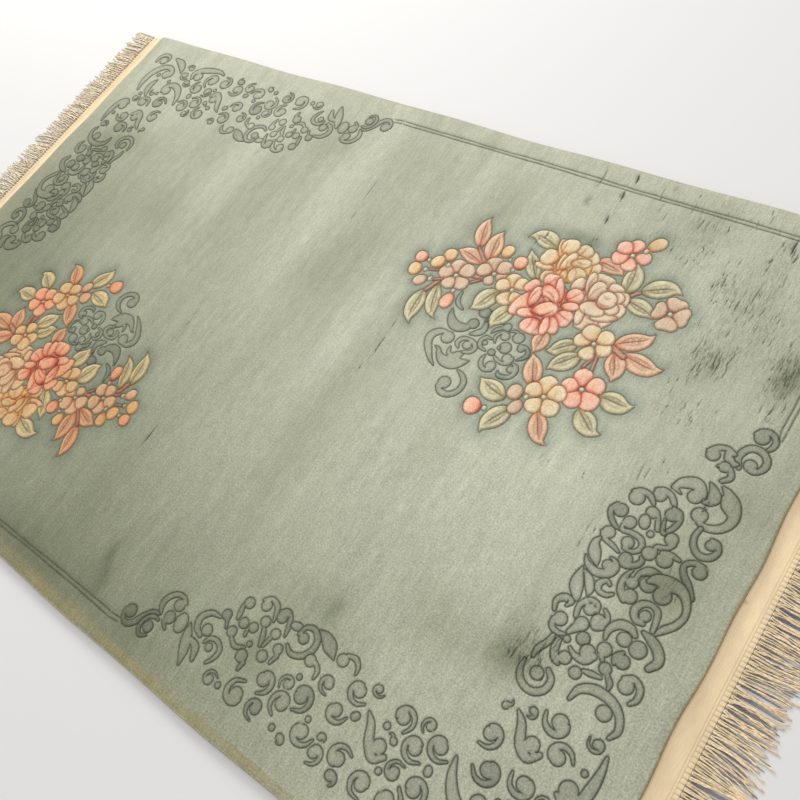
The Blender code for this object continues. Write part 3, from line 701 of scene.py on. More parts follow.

# painted light and shade in the nap: x, y, reach x, reach y, turn in degrees, gain (negative is darker)
NAP_LIGHT_AND_SHADE = [
    # painted shade: the rug darkens towards its left end and its near side
    (-100, -720, 620, 400, 0, -0.62), (-820, -200, 300, 480, 0, -0.42), (-640, 30, 260, 190, 0, -0.14), (-700, -200, 140, 220, 0, -0.18),
    (-280, -200, 260, 260, 0, -0.25), (-480, 160, 75, 110, 0, -0.12), (-100, -430, 50, 130, 0, -0.10),
    # painted light and shade in bands across it where the pile leans one way or the other
    (-395, 270, 52, 210, 0, 0.16), (-325, 250, 14, 190, 0, -0.06), (-265, 230, 70, 260, 0, -0.08), (-105, 330, 50, 270, 0, 0.13), (45, 400, 70, 170, 0, -0.09),
    (-5, 120, 45, 230, 0, -0.07), (122, 110, 36, 170, 0, 0.13), (165, 480, 20, 130, 0, 0.10), (140, 545, 12, 60, 0, -0.14),
    (192, -110, 44, 190, 0, -0.14), (240, 460, 38, 60, 0, -0.14), (600, 545, 34, 60, 0, -0.14), (735, 440, 45, 150, 0, -0.08),
    (310, 40, 60, 90, 0, 0.06), (500, -70, 190, 150, 0, 0.12), (905, -20, 42, 420, 0, -0.16), (905, 400, 30, 200, 0, -0.08),
    # painted light and shade in patches where it lies ruffled
    (722, 268, 26, 40, 0, -0.14), (836, 306, 26, 42, 0, -0.26), (580, -285, 60, 38, 10, -0.14), (685, -215, 26, 60, 0, -0.18), (425, -345, 12, 26, 0, -0.22),
    (4, -488, 12, 46, -8, -0.22), (26, -536, 20, 34, -18, -0.20), (70, -500, 26, 46, 0, 0.10), (700, 60, 60, 120, 0, -0.06),
    (560, 60, 60, 80, 0, 0.04), (-200, 460, 60, 40, 0, -0.10), (30, 210, 85, 150, 0, -0.13), (-290, 320, 45, 120, 0, -0.11),
    (0, 0, 900, 600, 0, -0.05), (650, 60, 60, 90, 0, 0.12), (60, -430, 120, 90, 0, -0.07), (800, 330, 50, 110, 0, -0.08), (600, 520, 90, 70, 0, -0.05),
    (-60, 470, 240, 80, 0, -0.06), (-480, 360, 110, 80, 0, -0.14), (-720, 280, 110, 60, 0, -0.18), (-300, 200, 180, 150, 0, -0.07), (-480, 150, 80, 80, 0, -0.07),
    (400, -50, 38, 80, 0, -0.12), (820, -60, 60, 150, 0, -0.16), (700, -262, 46, 36, 0, -0.30), (420, -375, 70, 44, 0, -0.16), (300, -365, 80, 50, 0, -0.07),
    (-160, -575, 130, 50, 0, -0.16), (120, -575, 90, 44, 0, -0.10), (-800, 100, 70, 250, 0, -0.12), (-800, 260, 70, 60, 0, -0.14), (836, -78, 24, 26, 0, -0.16),
    (404, 434, 40, 12, 0, -0.16), (452, 428, 30, 10, -20, -0.10), (262, 440, 30, 24, 0, -0.08), (560, 60, 40, 30, 0, -0.06), (455, 20, 70, 20, 0, -0.06),
    (868, 40, 14, 120, 0, -0.08), (815, 150, 40, 60, 0, -0.08), (350, 470, 24, 60, 0, 0.05), (480, 500, 30, 50, 0, 0.05), (660, 480, 20, 70, 0, 0.05),
    (-550, 0, 110, 90, 0, 0.08), (-895, 60, 40, 330, 0, -0.12), (500, -230, 120, 70, 0, -0.05), (340, 300, 60, 60, 0, 0.03),
    (-50, 150, 60, 60, 0, -0.07), (-150, -150, 50, 70, 0, 0.07), (500, 40, 70, 60, 0, 0.13), (520, 150, 60, 60, 0, 0.08), (300, 170, 30, 25, 0, 0.08),
    (-200, 380, 50, 120, 0, -0.07), (205, 350, 24, 60, 0, -0.09), (-100, -250, 40, 100, 0, -0.07), (175, -60, 16, 110, 0, -0.07), (262, -70, 14, 80, 0, -0.08),
    (125, 410, 18, 40, 0, -0.08), (418, 430, 46, 14, 0, -0.12), (820, -70, 60, 90, 0, -0.05), (836, 306, 16, 30, 0, -0.12), (-780, 230, 90, 80, 0, -0.09), (-650, 150, 90, 80, 0, -0.07), (-200, -550, 80, 50, 0, -0.10), (640, 250, 30, 90, 0, 0.04),
    (856, 85, 34, 30, 0, -0.09), (883, 107, 24, 50, 0, -0.04), (787, 90, 24, 40, 0, 0.06), (828, -66, 34, 36, 0, -0.15), (680, -273, 34, 22, 10, -0.15),
    (716, -243, 32, 22, 10, -0.11), (788, -182, 30, 26, 0, -0.05), (839, 14, 24, 30, 0, -0.04), (716, 412, 44, 50, 0, -0.06), (737, 296, 40, 36, 0, -0.05),
    (847, 309, 24, 38, 0, -0.12), (344, -473, 40, 44, 0, -0.12), (135, -506, 30, 40, 0, -0.05), (288, -434, 30, 24, 0, -0.05), (749, -140, 26, 36, 0, 0.09),
    (904, -48, 18, 60, 0, 0.05), (20, -508, 9, 38, 19, -0.26), (-27, -521, 14, 30, 10, -0.10), (-300, -562, 600, 8, 0, -0.10), (344, -473, 46, 50, 0, -0.10),
    (847, 309, 24, 38, 0, -0.14), (722, 288, 32, 30, 0, -0.06), (749, -140, 24, 32, 0, 0.05), (856, 85, 30, 30, 0, -0.04), (830, -66, 34, 34, 0, -0.06), (682, -275, 34, 22, 10, -0.08),
    (423, -356, 9, 24, -20, -0.14), (385, -335, 38, 24, 0, -0.09), (280, -376, 14, 36, -20, -0.07), (555, -250, 34, 26, 0, -0.08), (600, -300, 56, 26, 0, -0.06),
]


def lens(x0, y0, x1, y1, half, depth, dark):
    """A crack as sample rows: x, y, half width, depth, darkness of its painted shade."""
    long = math.hypot(x1 - x0, y1 - y0)
    count = max(4, int(long / 1.4))
    t = np.linspace(0, 1, count)
    bend = 0.32 * np.sin(t * math.pi * 3 + x0) + 0.16 * np.sin(t * long / 1.9 + y0)
    swell = np.sin(math.pi * np.clip(t, 0.03, 0.97)) ** 0.6
    return np.stack([x0 + (x1 - x0) * t + bend, y0 + (y1 - y0) * t, np.maximum(half * 1.02 * swell, 0.3), depth * 0.9 * swell, np.minimum(1.15 * dark, 1.0) * swell ** 0.4], 1)


# where the pile lies in fine wrinkles, which the shader darkens with painted shade: x, y, reach x, reach y, how strong
WRINKLE_SHADE_PATCHES = [
    (722, 288, 40, 36, 0.9), (832, 312, 26, 44, 1.0), (838, 240, 24, 34, 0.5), (735, 190, 60, 30, 0.40), (716, 424, 64, 46, 0.62), (612, 495, 40, 62, 0.50),
    (745, 505, 34, 60, 0.50), (560, 500, 50, 60, 0.30), (650, 565, 110, 40, 0.40), (439, 500, 9, 100, 0.40), (384, 545, 7, 60, 0.35), (762, 372, 44, 60, 0.55),
    (710, -246, 44, 34, 0.9), (722, -236, 26, 30, 0.4), (822, 60, 30, 26, 0.45), (836, -70, 34, 40, 0.40), (700, 340, 44, 50, 0.40), (815, 420, 44, 120, 0.40),
    (198, 70, 8, 80, 0.30), (-200, -75, 8, 70, 0.25), (705, 40, 30, 120, 0.25), (560, -60, 60, 90, 0.18), (860, 150, 24, 60, 0.30), (-700, -440, 70, 70, 0.35),
    (-722, -250, 34, 50, 0.35), (600, 320, 40, 60, 0.20), (20, -515, 40, 50, 0.30),
]


def wear_and_shade(points):
    left = np.ones(len(points))
    for x, y, rx, ry, much in WRINKLE_SHADE_PATCHES:
        left *= 1 - much * np.exp(-((points[:, 0] - x) / rx) ** 2 - ((points[:, 1] - y) / ry) ** 2)
    return 1 - left


def tree(points):
    kd = KDTree(len(points))
    for i, p in enumerate(points):
        kd.insert((p[0], p[1], 0.0), i)
    kd.balance()
    return kd


def nearest(kd, points):
    index, dist = np.empty(len(points), int), np.empty(len(points))
    find = kd.find
    for i, (x, y) in enumerate(points.tolist()):
        _, index[i], dist[i] = find((x, y, 0.0))
    return index, dist


LINE_ROWS = np.vstack([np.column_stack([even(l, 1.0, False), np.full((len(even(l, 1.0, False)), 3), (1.5, 1.9, 0.85))]) for l in BORDER]
                      + [lens(*row) for row in CRACKS])
LINE_IS_CRACK = np.concatenate([np.zeros(sum(len(even(l, 1.0, False)) for l in BORDER), bool), np.ones(sum(len(lens(*row)) for row in CRACKS), bool)])
LINE_TREE = tree(LINE_ROWS)


def swell(points):
    """The slow unevenness of a rug that has been walked on, in millimetres."""
    x, y = points[:, 0], points[:, 1]
    return (0.35 * np.sin(x / 91.0 + 0.4 * np.sin(y / 170.0)) + 0.3 * np.sin(y / 133.0 + 1.1 + 0.5 * np.sin(x / 210.0))
            + 0.22 * np.sin((x + 0.6 * y) / 47.0) + 0.15 * np.sin((x * 0.8 - y) / 39.0 + 2.0))


def rim_inset(points):
    """Roughly how far inside the pile's rim a point lies."""
    return np.minimum(LENGTH / 2 - np.abs(points[:, 0]), WIDTH / 2 - np.abs(points[:, 1]))


class Relief:
    """What a drawing does to the pile: its visible outlines and carved lines."""

    def __init__(self, drawing, step):
        self.drawing = drawing
        shapes = drawing.shapes
        boxes = [(s["outline"].min(0), s["outline"].max(0)) for s in shapes]
        self.segments, rows, flowery, owner = [], [], [], []
        for i, s in enumerate(shapes):
            pts = even(s["outline"], step, True)
            nxt = np.roll(pts, -1, axis=0)
            mids = (pts + nxt) / 2
            hidden = np.zeros(len(pts), bool)
            for j, o in enumerate(shapes):
                if j == i or not (j > i or o["group"] == s["group"]):
                    continue
                if (boxes[j][0] > boxes[i][1]).any() or (boxes[j][1] < boxes[i][0]).any():
                    continue
                hidden |= inside(mids, o["outline"])
            seen = ~hidden
            self.segments.append((pts, seen))
            for t in (0.0, 0.34, 0.67):
                rows.append((pts + (nxt - pts) * t)[seen])
                flowery += [s["dye"] in FLOWERY] * int(seen.sum())
                owner += [i] * int(seen.sum())
        self.outline = np.vstack(rows)
        probe = 3.0 * np.array([(math.cos(a), math.sin(a)) for a in np.linspace(0, 2 * math.pi, 8, endpoint=False)])
        bare = np.zeros(len(self.outline), bool)
        for step_out in probe:
            bare |= self.top(self.outline + step_out, FLOWERY) < 0
        self.beside_ground = bare
        self.flowery, self.owner = np.array(flowery), np.array(owner)
        self.outline_tree = tree(self.outline)
        self.crease_lines, crease = [], [np.array([(1e5, 1e5, 1.0, 0.0, 0.0)])]
        for c in drawing.creases:
            pts = even(c["points"], 1.8, False)
            hidden = np.zeros(len(pts), bool)
            for o in shapes[c["after"]:]:
                hidden |= inside(pts, o["outline"])
            t = np.linspace(0, 1, len(pts))
            fade = np.sin(math.pi * np.clip(t, 0.04, 0.96)) ** 0.5
            rows = np.stack([pts[:, 0], pts[:, 1], np.full(len(pts), c["width"] * 1.15), c["depth"] * fade, c["dark"] * fade ** 0.5], 1)
            self.crease_lines.append((pts, ~hidden))
            fine = even(pts, 0.7, False)
            near = np.abs(fine[:, None, :] - pts[None]).sum(2).argmin(1)
            keep = ~hidden[near]
            if keep.any():
                crease.append(np.column_stack([fine, rows[near, 2:]])[keep])
        self.crease = np.vstack(crease)
        self.crease_tree = tree(self.crease)

    def top(self, points, dyes=None):
        """The topmost shape at each point, or -1 on the ground."""
        found = np.full(len(points), -1)
        for i, s in enumerate(self.drawing.shapes):
            if dyes is None or s["dye"] in dyes:
                found[inside(points, s["outline"])] = i
        return found


def turn_half(points):
    return -points


def loosened(points):
    """The other bouquet is the same drawing turned by half a turn, knotted by hand a little differently."""
    x, y = points[:, 0], points[:, 1]
    dx = 3.2 * np.sin(y / 71.0 + 0.7) + 2.2 * np.sin(x / 93.0 + 1.9)
    dy = -5.0 + 3.0 * np.sin(x / 84.0 + 0.3) + 2.0 * np.sin(y / 57.0 + 2.4)
    # it is a little smaller towards the middle of the rug
    dx += 12.5 * (1 - smooth(150.0, 340.0, x))
    dy += 3.0 + 11.0 * (1 - smooth(30.0, 330.0, y))
    return -np.stack([x + dx, y + dy], 1)


bouquet = Drawing()
draw_bouquet_scrolls(bouquet)
_flowers = draw_bouquet()
for shape in _flowers.shapes:
    bouquet.shapes.append(dict(shape, group=shape["group"] + 1000))
for crease in _flowers.creases:
    crease["after"] += len(bouquet.shapes) - len(_flowers.shapes)
    bouquet.creases.append(crease)
bouquet.group = 2000
corner = draw_corner()

RELIEFS = {
    "bouquet_right": Relief(bouquet, 2.1),
    # its flowers darker and warmer: painted shade over that end of the rug
    "bouquet_left": Relief(bouquet.moved(loosened, 3, np.array([0.81, 0.655, 0.505])), 2.1),
    "corner_near": Relief(corner, 2.7),
    "corner_far": Relief(corner.moved(turn_half, 4), 2.7),
}
FLOWER_POINTS = np.vstack([r.outline[r.flowery][::3] for r in RELIEFS.values()])
FLOWER_TREE = tree(FLOWER_POINTS)


def loop_points(corners, step=8.0, cuts=()):
    """A closed loop of straight sides at equal steps; cuts are extra points that lie on it."""
    out = []
    for a, b in zip(corners, corners[1:] + corners[:1]):
        a, b = np.array(a, float), np.array(b, float)
        long = math.hypot(*(b - a))
        at = list(np.linspace(0, 1, max(1, int(round(long / step))) + 1)[:-1])
        for c in cuts:
            c = np.array(c, float)
            t = float((c - a) @ (b - a)) / long ** 2
            off = abs(float((c - a)[0] * (b - a)[1] - (c - a)[1] * (b - a)[0])) / long
            if 0 < t < 1 and off < 0.01:
                at = [q for q in at if abs(q - t) * long > 1.0 or q == 0] + [t]
        out += [a + (b - a) * t for t in sorted(at)]
    return np.array(out)


LOOPS = {}
LOOPS["bouquet_right"] = loop_points([(128, -8), (686, -8), (686, 512), (128, 512)])
LOOPS["bouquet_left"] = -LOOPS["bouquet_right"]
_cuts = [(x + o, 228) for x in (864.9, 872.8) for o in (-2.6, -1.1, 0, 1.1, 2.6)]
LOOPS["corner_near"] = loop_points([(84, -592), (888, -592), (888, 228), (696, 228), (696, -376), (84, -376)], cuts=_cuts)
LOOPS["corner_far"] = -LOOPS["corner_near"]


def hexes(lo, hi, step):
    ys = np.arange(lo[1], hi[1], step * 0.866)
    out = []
    for i, y in enumerate(ys):
        xs = np.arange(lo[0] + (step / 2 if i % 2 else 0), hi[0], step)
        out.append(np.stack([xs, np.full(len(xs), y)], 1))
    return np.vstack(out)


def beside(pts, offsets):
    """Points set off to both sides of a run of points."""
    way = np.gradient(pts, axis=0)
    way /= np.maximum(np.hypot(way[:, 0], way[:, 1]), 1e-9)[:, None]
    side = np.stack([-way[:, 1], way[:, 0]], 1)
    return np.vstack([pts + side * o for o in offsets])


def thinned(points, cell):
    """Drops points that share a small cell with an earlier one."""
    keys = np.floor(points / cell).astype(np.int64)
    _, first = np.unique(keys[:, 0] * 1000003 + keys[:, 1], return_index=True)
    return points[np.sort(first)]


def triangulate(loop, holes, lines, points):
    """A triangulation of the area within the loop and outside the holes; lines are runs of points kept as edges."""
    verts, edges = [], []

    def put(run, closed, seen=None):
        base = len(verts)
        verts.extend(map(tuple, run))
        count = len(run)
        for i in range(count if closed else count - 1):
            if seen is None or (seen[i] if closed else seen[i] and seen[i + 1]):
                edges.append((base + i, base + (i + 1) % count))

    for run in [loop] + holes:
        put(run, True)
    for run, seen, closed in lines:
        put(run, closed, seen)
    verts.extend(map(tuple, points))
    out, _, faces, _, _, _ = delaunay_2d_cdt([Vector(v) for v in verts], edges, [], 0, 1e-4, False)
    co = np.array([(v[0], v[1]) for v in out])
    tri = np.array(faces)
    mid = co[tri].mean(1)
    keep = inside(mid, loop)
    for hole in holes:
        keep &= ~inside(mid, hole)
    tri = tri[keep]
    a, b, c = co[tri[:, 0]], co[tri[:, 1]], co[tri[:, 2]]
    area = (b[:, 0] - a[:, 0]) * (c[:, 1] - a[:, 1]) - (b[:, 1] - a[:, 1]) * (c[:, 0] - a[:, 0])
    flip = area < 0
    tri[flip] = tri[flip][:, ::-1]
    tri = tri[np.abs(area) > 1e-7]
    used = np.unique(tri)
    remap = np.full(len(co), -1)
    remap[used] = np.arange(len(used))
    return co[used], remap[tri]


def ground_tint(points, near_flower):
    """The dyed ground, with painted light and shade of the nap, and greyer with painted shade beside the raised
    flowers.
    """
    x, y = points[:, 0], points[:, 1]
    gain = np.ones(len(points))
    for nx, ny, rx, ry, turn, g in NAP_LIGHT_AND_SHADE:
        a = math.radians(turn)
        u = (x - nx) * math.cos(a) + (y - ny) * math.sin(a)
        v = -(x - nx) * math.sin(a) + (y - ny) * math.cos(a)
        gain *= 1 + g * np.exp(-(u / rx) ** 2 - (v / ry) ** 2)
    # painted shade: greyer and darker close to the flowers, a little darker further out
    close = np.exp(-(near_flower / 15.0) ** 2)
    tint = GROUND[None] * (1 - close[:, None]) + GROUND_SHADED_BY_FLOWERS[None] * close[:, None]
    tint = tint * (1 - 0.15 * np.exp(-(near_flower / 4.5) ** 1.3) - 0.07 * np.exp(-(near_flower / 26.0) ** 2))[:, None]
    return tint * shaded(gain), gain


def shaded(gain):
    """Where the painted nap shade darkens the pile, it is warmer too."""
    return gain[:, None] * np.stack([np.ones(len(gain)), np.minimum(gain, 1.0) ** -0.03, np.minimum(gain, 1.0) ** 0.18], 1)


def surface(co, tri, relief):
    """Heights of the points, and colours of the triangles' corners."""
    n = len(co)
    _, near_flower = nearest(FLOWER_TREE, co)
    li, ld = nearest(LINE_TREE, co)
    row = LINE_ROWS[li]
    cut = np.exp(-(ld / row[:, 2]) ** 2)
    z = TOP + swell(co) - row[:, 3] * cut
    groove_dye_and_shade = row[:, 4] * np.exp(-(ld / (row[:, 2] * 1.05)) ** 2)
    crack = LINE_IS_CRACK[li]
    ground, gain = ground_tint(co, near_flower)
    z -= 1.25 * np.exp(-(near_flower / 8.0) ** 2)
    if relief is None:
        tint = ground[tri.reshape(-1)]
        grooved = np.zeros(n)
    else:
        oi, od = nearest(relief.outline_tree, co)
        ci, cd = nearest(relief.crease_tree, co)
        crease = relief.crease[ci]
        flowery = relief.flowery[oi]
        deep = np.where(flowery, 1.7, 1.7)
        grooved = np.exp(-(od / 1.1) ** 2)
        at = relief.top(co)
        on = at >= 0
        shapes = relief.drawing.shapes
        crown = np.array([s["crown"] for s in shapes] + [0.0])[at]
        is_flower = np.array([s["dye"] in FLOWERY for s in shapes] + [False])[at]
        z += np.where(is_flower, 1.25 * np.exp(-(near_flower / 8.0) ** 2) * smooth(0.0, 2.5, od), 0.0)
        z += crown * 0.9 * np.where(is_flower, 1.0, 0.5) * (1 - np.exp(-(od / 4.0) ** 1.5))
        # a part that runs under another is clipped lower beside it
        under = is_flower & (relief.owner[oi] != at)
        z -= np.where(under, 0.7 * np.exp(-(od / 4.2) ** 2), 0.0)
        z -= deep * grooved
        z -= np.where(on, crease[:, 3] * np.exp(-(cd / crease[:, 2]) ** 2), 0.0)
        # colours, by the shape that each triangle lies in
        mid = co[tri].mean(1)
        face_at = relief.top(mid)
        corner_at = np.repeat(face_at, 3)
        idx = tri.reshape(-1)
        p = co[idx]
        tint = ground[idx].copy()
        # lines that part two petals are warmer than those that part a flower from the ground
        near_ground = relief.beside_ground[oi]
        own_line = np.full((len(idx), 3), -1.0)
        scroll_line = 1.0 if relief.flowery.any() else 1.15
        # the scroll fill is darker than the ground, in the corners darker still towards the rug's ends: painted shade
        cut_fill_shade = np.full(n, 0.90) if relief.flowery.any() else 0.82 + 0.085 * (1 - smooth(430.0, 680.0, np.abs(co[:, 0])))
        for k in np.unique(face_at):
            if k < 0:
                continue
            s = shapes[k]
            sel = np.nonzero(corner_at == k)[0]
            root_c, body_c, far_c, edge_shade_c, line_c = DYES[s["dye"]]
            axis = s["far"] - s["root"]
            long2 = float(axis @ axis)
            u = np.clip((p[sel] - s["root"]) @ axis / long2, 0, 1) if long2 > 1 else np.full(len(sel), 0.5)
            a, b = smooth(0.0, 0.36, u)[:, None], smooth(0.5, 0.9, u)[:, None]
            c = root_c * (1 - a) + body_c * a
            c = c * (1 - b) + far_c * b
            d = od[idx[sel]][:, None]
            own = (relief.owner[oi[idx[sel]]] == k)[:, None]
            outer = near_ground[idx[sel]][:, None]
            # painted shade at a shape's edges: wide and dark where it runs under another shape, a deeper edge colour
            # with painted shade beside the ground, thin along an edge that lies over another
            rim = np.where(own, np.exp(-(d / np.where(outer, 2.1, 1.2)) ** 1.5) * np.where(outer, 0.58, 0.20), np.exp(-(d / 3.6) ** 1.5) * 0.72)
            c = c * (1 - rim) + edge_shade_c * rim
            # painted shade in the hollow where the petals meet at the hub
            if s.get("hub"):
                hub_shade = 0.66 * np.exp(-(np.hypot(*(p[sel] - s["root"]).T) / 7.6) ** 3)[:, None]
                c = c * (1 - hub_shade) + line_c * hub_shade
            # the other bouquet's flowers are darkened and warmed here with painted shade; green, mauve and cream get
            # part of it back
            c = c * s["shade"] * s.get("shade_tone", 1.0)
            if "shade_tone" in s:
                c = c * np.array({"green": (1.107, 1.19, 1.26), "mauve": (1.10, 1.13, 1.18), "cream": (1.03, 1.06, 1.09)}.get(s["dye"], (1.0, 1.0, 1.0)))
            if s["dye"] in FLOWERY:
                own_line[sel] = line_c * s.get("shade_tone", 1.0)
            # darker along carved lines within a shape: darker dye with painted shade in the groove
            cr = (np.minimum(1.15 * crease[idx[sel], 4], 1.0) * np.exp(-(cd[idx[sel]] / (crease[idx[sel], 2] * 1.25)) ** 2))[:, None]
            c = c * (1 - cr) + line_c * cr
            if s["dye"] == "scroll":
                # cut pile of the ground's own dye, darker with painted shade, most of all beside its carved outline
                c = ground[idx[sel]] * (cut_fill_shade[idx[sel]] * s["shade"])[:, None] * (1 - 0.24 * np.exp(-(d / 3.4) ** 1.5))
            tint[sel] = c
        # the carved outlines: darker dye with painted shade in the groove
        line = np.where(flowery[idx][:, None], lin(92, 88, 62)[None], lin(58, 64, 48)[None])
        line = np.where(own_line[:, :1] >= 0, np.where(near_ground[idx][:, None], 0.5 * own_line + 0.5 * lin(98, 92, 64)[None], own_line), line)
        w = (np.exp(-(od[idx] / np.where(flowery[idx], 1.0, scroll_line)) ** 2) * np.where(flowery[idx], np.where(near_ground[idx], 0.72, 0.66), 0.94 - 0.10 * (1 - smooth(430.0, 680.0, np.abs(p[:, 0])))))[:, None]
        tint = tint * (1 - w) + line * w
    idx = tri.reshape(-1)
    # border lines darkened with dye and painted shade, cracks with painted shade
    w = groove_dye_and_shade[idx][:, None]
    dark = np.where(crack[idx][:, None], CRACK_SHADE[None], LINE_DYE_AND_SHADE[None])
    tint = tint * (1 - w) + dark * w
    return z, tint


def piece_mesh(name, verts, faces, corner_tint=None, material=None, smooth_shade=True):
    mesh = bpy.data.meshes.new(name)
    mesh.vertices.add(len(verts))
    mesh.vertices.foreach_set("co", (np.asarray(verts, float) * MM).astype(np.float32).ravel())
    faces = [np.asarray(f) for f in faces if len(f)]
    loops = np.concatenate([f.ravel() for f in faces])
    sizes = np.concatenate([np.full(len(f), f.shape[1]) for f in faces])
    mesh.loops.add(len(loops))
    mesh.loops.foreach_set("vertex_index", loops.astype(np.int32))
    mesh.polygons.add(len(sizes))
    mesh.polygons.foreach_set("loop_start", np.concatenate([[0], np.cumsum(sizes)[:-1]]).astype(np.int32))
    mesh.update(calc_edges=True)
    mesh.validate()
    mesh.polygons.foreach_set("use_smooth", np.full(len(mesh.polygons), smooth_shade))
    if corner_tint is not None:
        layer = mesh.color_attributes.new("tint", "FLOAT_COLOR", "CORNER")
        full = np.ones((len(mesh.loops), 4), np.float32)
        full[:len(corner_tint), :3] = corner_tint
        layer.data.foreach_set("color", full.ravel())
    if material:
        mesh.materials.append(material)
    obj = bpy.data.objects.new(name, mesh)
    bpy.context.scene.collection.objects.link(obj)
    return obj


def closed_block(name, co, z, tri, tint, loops, walls, material):
    """Closes a relief: walls down from its loops and a flat underside.

    walls: for each loop, rows of (points, height) outside the loop, the last one on the floor.
    """
    verts = [np.column_stack([co, z])]
    count = len(co)
    where = tree(co)
    quads, under_loops, wall_tint, last_rings = [], [], [], []
    for loop, rows in zip(loops, walls):
        ring, off = nearest(where, loop)
        assert off.max() < 0.01 and len(np.unique(ring)) == len(ring), name
        for points, height, shade in rows:
            new = np.arange(count, count + len(points))
            verts.append(np.column_stack([points, np.full(len(points), height)]))
            count += len(points)
            a, b = ring, np.roll(ring, -1)
            c, d = np.roll(new, -1), new
            quads.append(np.stack([a, d, c, b], 1))
            wall_tint.append(np.repeat(np.asarray(shade)[None], 4 * len(a), 0))
            ring = new
        under_loops.append(rows[-1][0])
        last_rings.append(ring)
    uco, utri = triangulate(under_loops[0], under_loops[1:], [], np.empty((0, 2)))
    found, off = nearest(tree(np.vstack(under_loops)), uco)
    assert off.max() < 0.01, name
    utri = np.concatenate(last_rings)[found][utri][:, ::-1]
    tint_all = np.vstack([tint] + wall_tint + [np.repeat(lin(196, 186, 160)[None], 3 * len(utri), 0)])
    obj = piece_mesh(name, np.vstack(verts), [tri] + quads + [utri], tint_all, material)
    # where blocks meet, the wall's slant must not shade the pile
    creased = np.zeros(count, bool)
    for loop, rows in zip(loops, walls):
        if len(rows) == 1:
            creased[nearest(where, loop)[0]] = True
    ends = np.empty(2 * len(obj.data.edges), np.int32)
    obj.data.edges.foreach_get("vertices", ends)
    flags = creased[ends.reshape(-1, 2)].all(1)
    obj.data.attributes.new("sharp_edge", "BOOLEAN", "EDGE").data.foreach_set("value", flags)
    mask = np.concatenate([wear_and_shade(co), np.zeros(count - len(co))])
    obj.data.attributes.new("wear_and_shade", "FLOAT", "POINT").data.foreach_set("value", mask.astype(np.float32))
    return obj


def outward(loop):
    """Walls are wound from the loop's own sense: anticlockwise loops face outward, holes inward."""
    x, y = loop[:, 0], loop[:, 1]
    return float(np.sum(x * np.roll(y, -1) - np.roll(x, -1) * y)) > 0


def motif_tile(name, material):
    relief, loop = RELIEFS[name], LOOPS[name]
    if not outward(loop):
        loop = loop[::-1]
    lo, hi = loop.min(0), loop.max(0)
    lines, extra = [], []
    for pts, seen in relief.segments:
        lines.append((pts, seen, True))
        if seen.any():
            extra.append(beside(np.vstack([pts, pts[:1]]), (-0.95, 0.95, -2.2, 2.2))[np.tile(np.append(seen, seen[:1]), 4)])
    for pts, seen in relief.crease_lines:
        lines.append((pts, seen, False))
        extra.append(beside(pts, (-1.0, 1.0))[np.tile(seen, 2)])
    near = [row for row in CRACKS if lo[0] < row[0] < hi[0] and lo[1] < row[1] < hi[1]]
    for row in near:
        rows = lens(*row)
        pts = even(rows[:, :2], 2.6, False)
        if inside(pts, loop).all():
            lines.append((pts, None, False))
            extra.append(beside(pts, (-0.9, 0.9, -2.1, 2.1)))
    for line in BORDER:
        within = inside(line, loop)
        if within.any():
            run = line[within]
            lines.append((run[1:-1] if len(run) > 4 else run, None, False))
            extra.append(beside(run, (-1.3, 1.3, -2.8, 2.8))[np.tile(inside(run, loop), 4)])
    extra = np.vstack(extra)
    _, od = nearest(relief.outline_tree, extra)
    _, cd = nearest(relief.crease_tree, extra)
    _, ld = nearest(LINE_TREE, extra)
    extra = extra[(od > 0.75) & (cd > 0.75) & (ld > 0.7)]
    grids = []
    for step, d0, d1 in ((2.7, 3.3, 11.0), (5.2, 11.0, 26.0), (10.0, 26.0, 1e9)):
        pts = hexes(lo, hi, step)
        pts = pts[inside(pts, loop)]
        _, od = nearest(relief.outline_tree, pts)
        _, cd = nearest(relief.crease_tree, pts)
        _, ld = nearest(LINE_TREE, pts)
        grids.append(pts[(od >= d0) & (od < d1) & (cd > 1.9) & (ld > 2.0)])
    points = thinned(np.vstack([extra] + grids), 1.0)
    # clear of the rim of the tile, where only the shared points lie
    ring = tree(even(loop, 1.0, True))
    _, bd = nearest(ring, points)
    points = points[(bd > 2.0) & inside(points, loop)]
    co, tri = triangulate(loop, [], lines, points)
    z, tint = surface(co, tri, relief)
    wall = lin(120, 118, 92)
    obj = closed_block("pile_" + name, co, z, tri, tint, [loop], [[(loop, 0.0, wall)]], material)
    return obj, len(tri)


def rim_loop(inset):
    """The rim of the pile, drawn in by inset, anticlockwise."""
    radius = max(1.0, 10.0 - inset)
    hx, hy = LENGTH / 2 - inset, WIDTH / 2 - inset
    out = []
    ns, ne, nc = 300, 200, 5
    kx, ky = LENGTH / 2 - 10.0, WIDTH / 2 - 10.0
    kx2, ky2 = hx - radius, hy - radius
    for cx, cy, a0, horizontal, count in ((1, -1, -90, True, ns), (1, 1, 0, False, ne), (-1, 1, 90, True, ns), (-1, -1, 180, False, ne)):
        if horizontal:
            for x in np.linspace(-cx * kx2, cx * kx2, count, endpoint=False):
                out.append((x, cy * hy, 0, cy))
        else:
            for y in np.linspace(-cy * ky2, cy * ky2, count, endpoint=False):
                out.append((cx * hx, y, cx, 0))
        for k in range(nc):
            a = math.radians(a0 + 90 * k / nc)
            out.append((cx * kx2 + radius * math.cos(a), cy * ky2 + radius * math.sin(a), math.cos(a), math.sin(a)))
    pts = []
    for x, y, nx, ny in out:
        # the far and near edges stray across the rug, the ends along it
        fade = max(0.0, min(1.0, (LENGTH / 2 - abs(x)) / 60.0))
        dy = math.copysign(1, ny) * stray("far" if ny > 0 else "near", x) * fade * abs(ny)
        dx = math.copysign(1, nx) * stray("right" if nx > 0 else "left", y) * abs(nx)
        pts.append((x + dx, y + dy))
    return np.array(pts)


RIM_FALL = 1.8


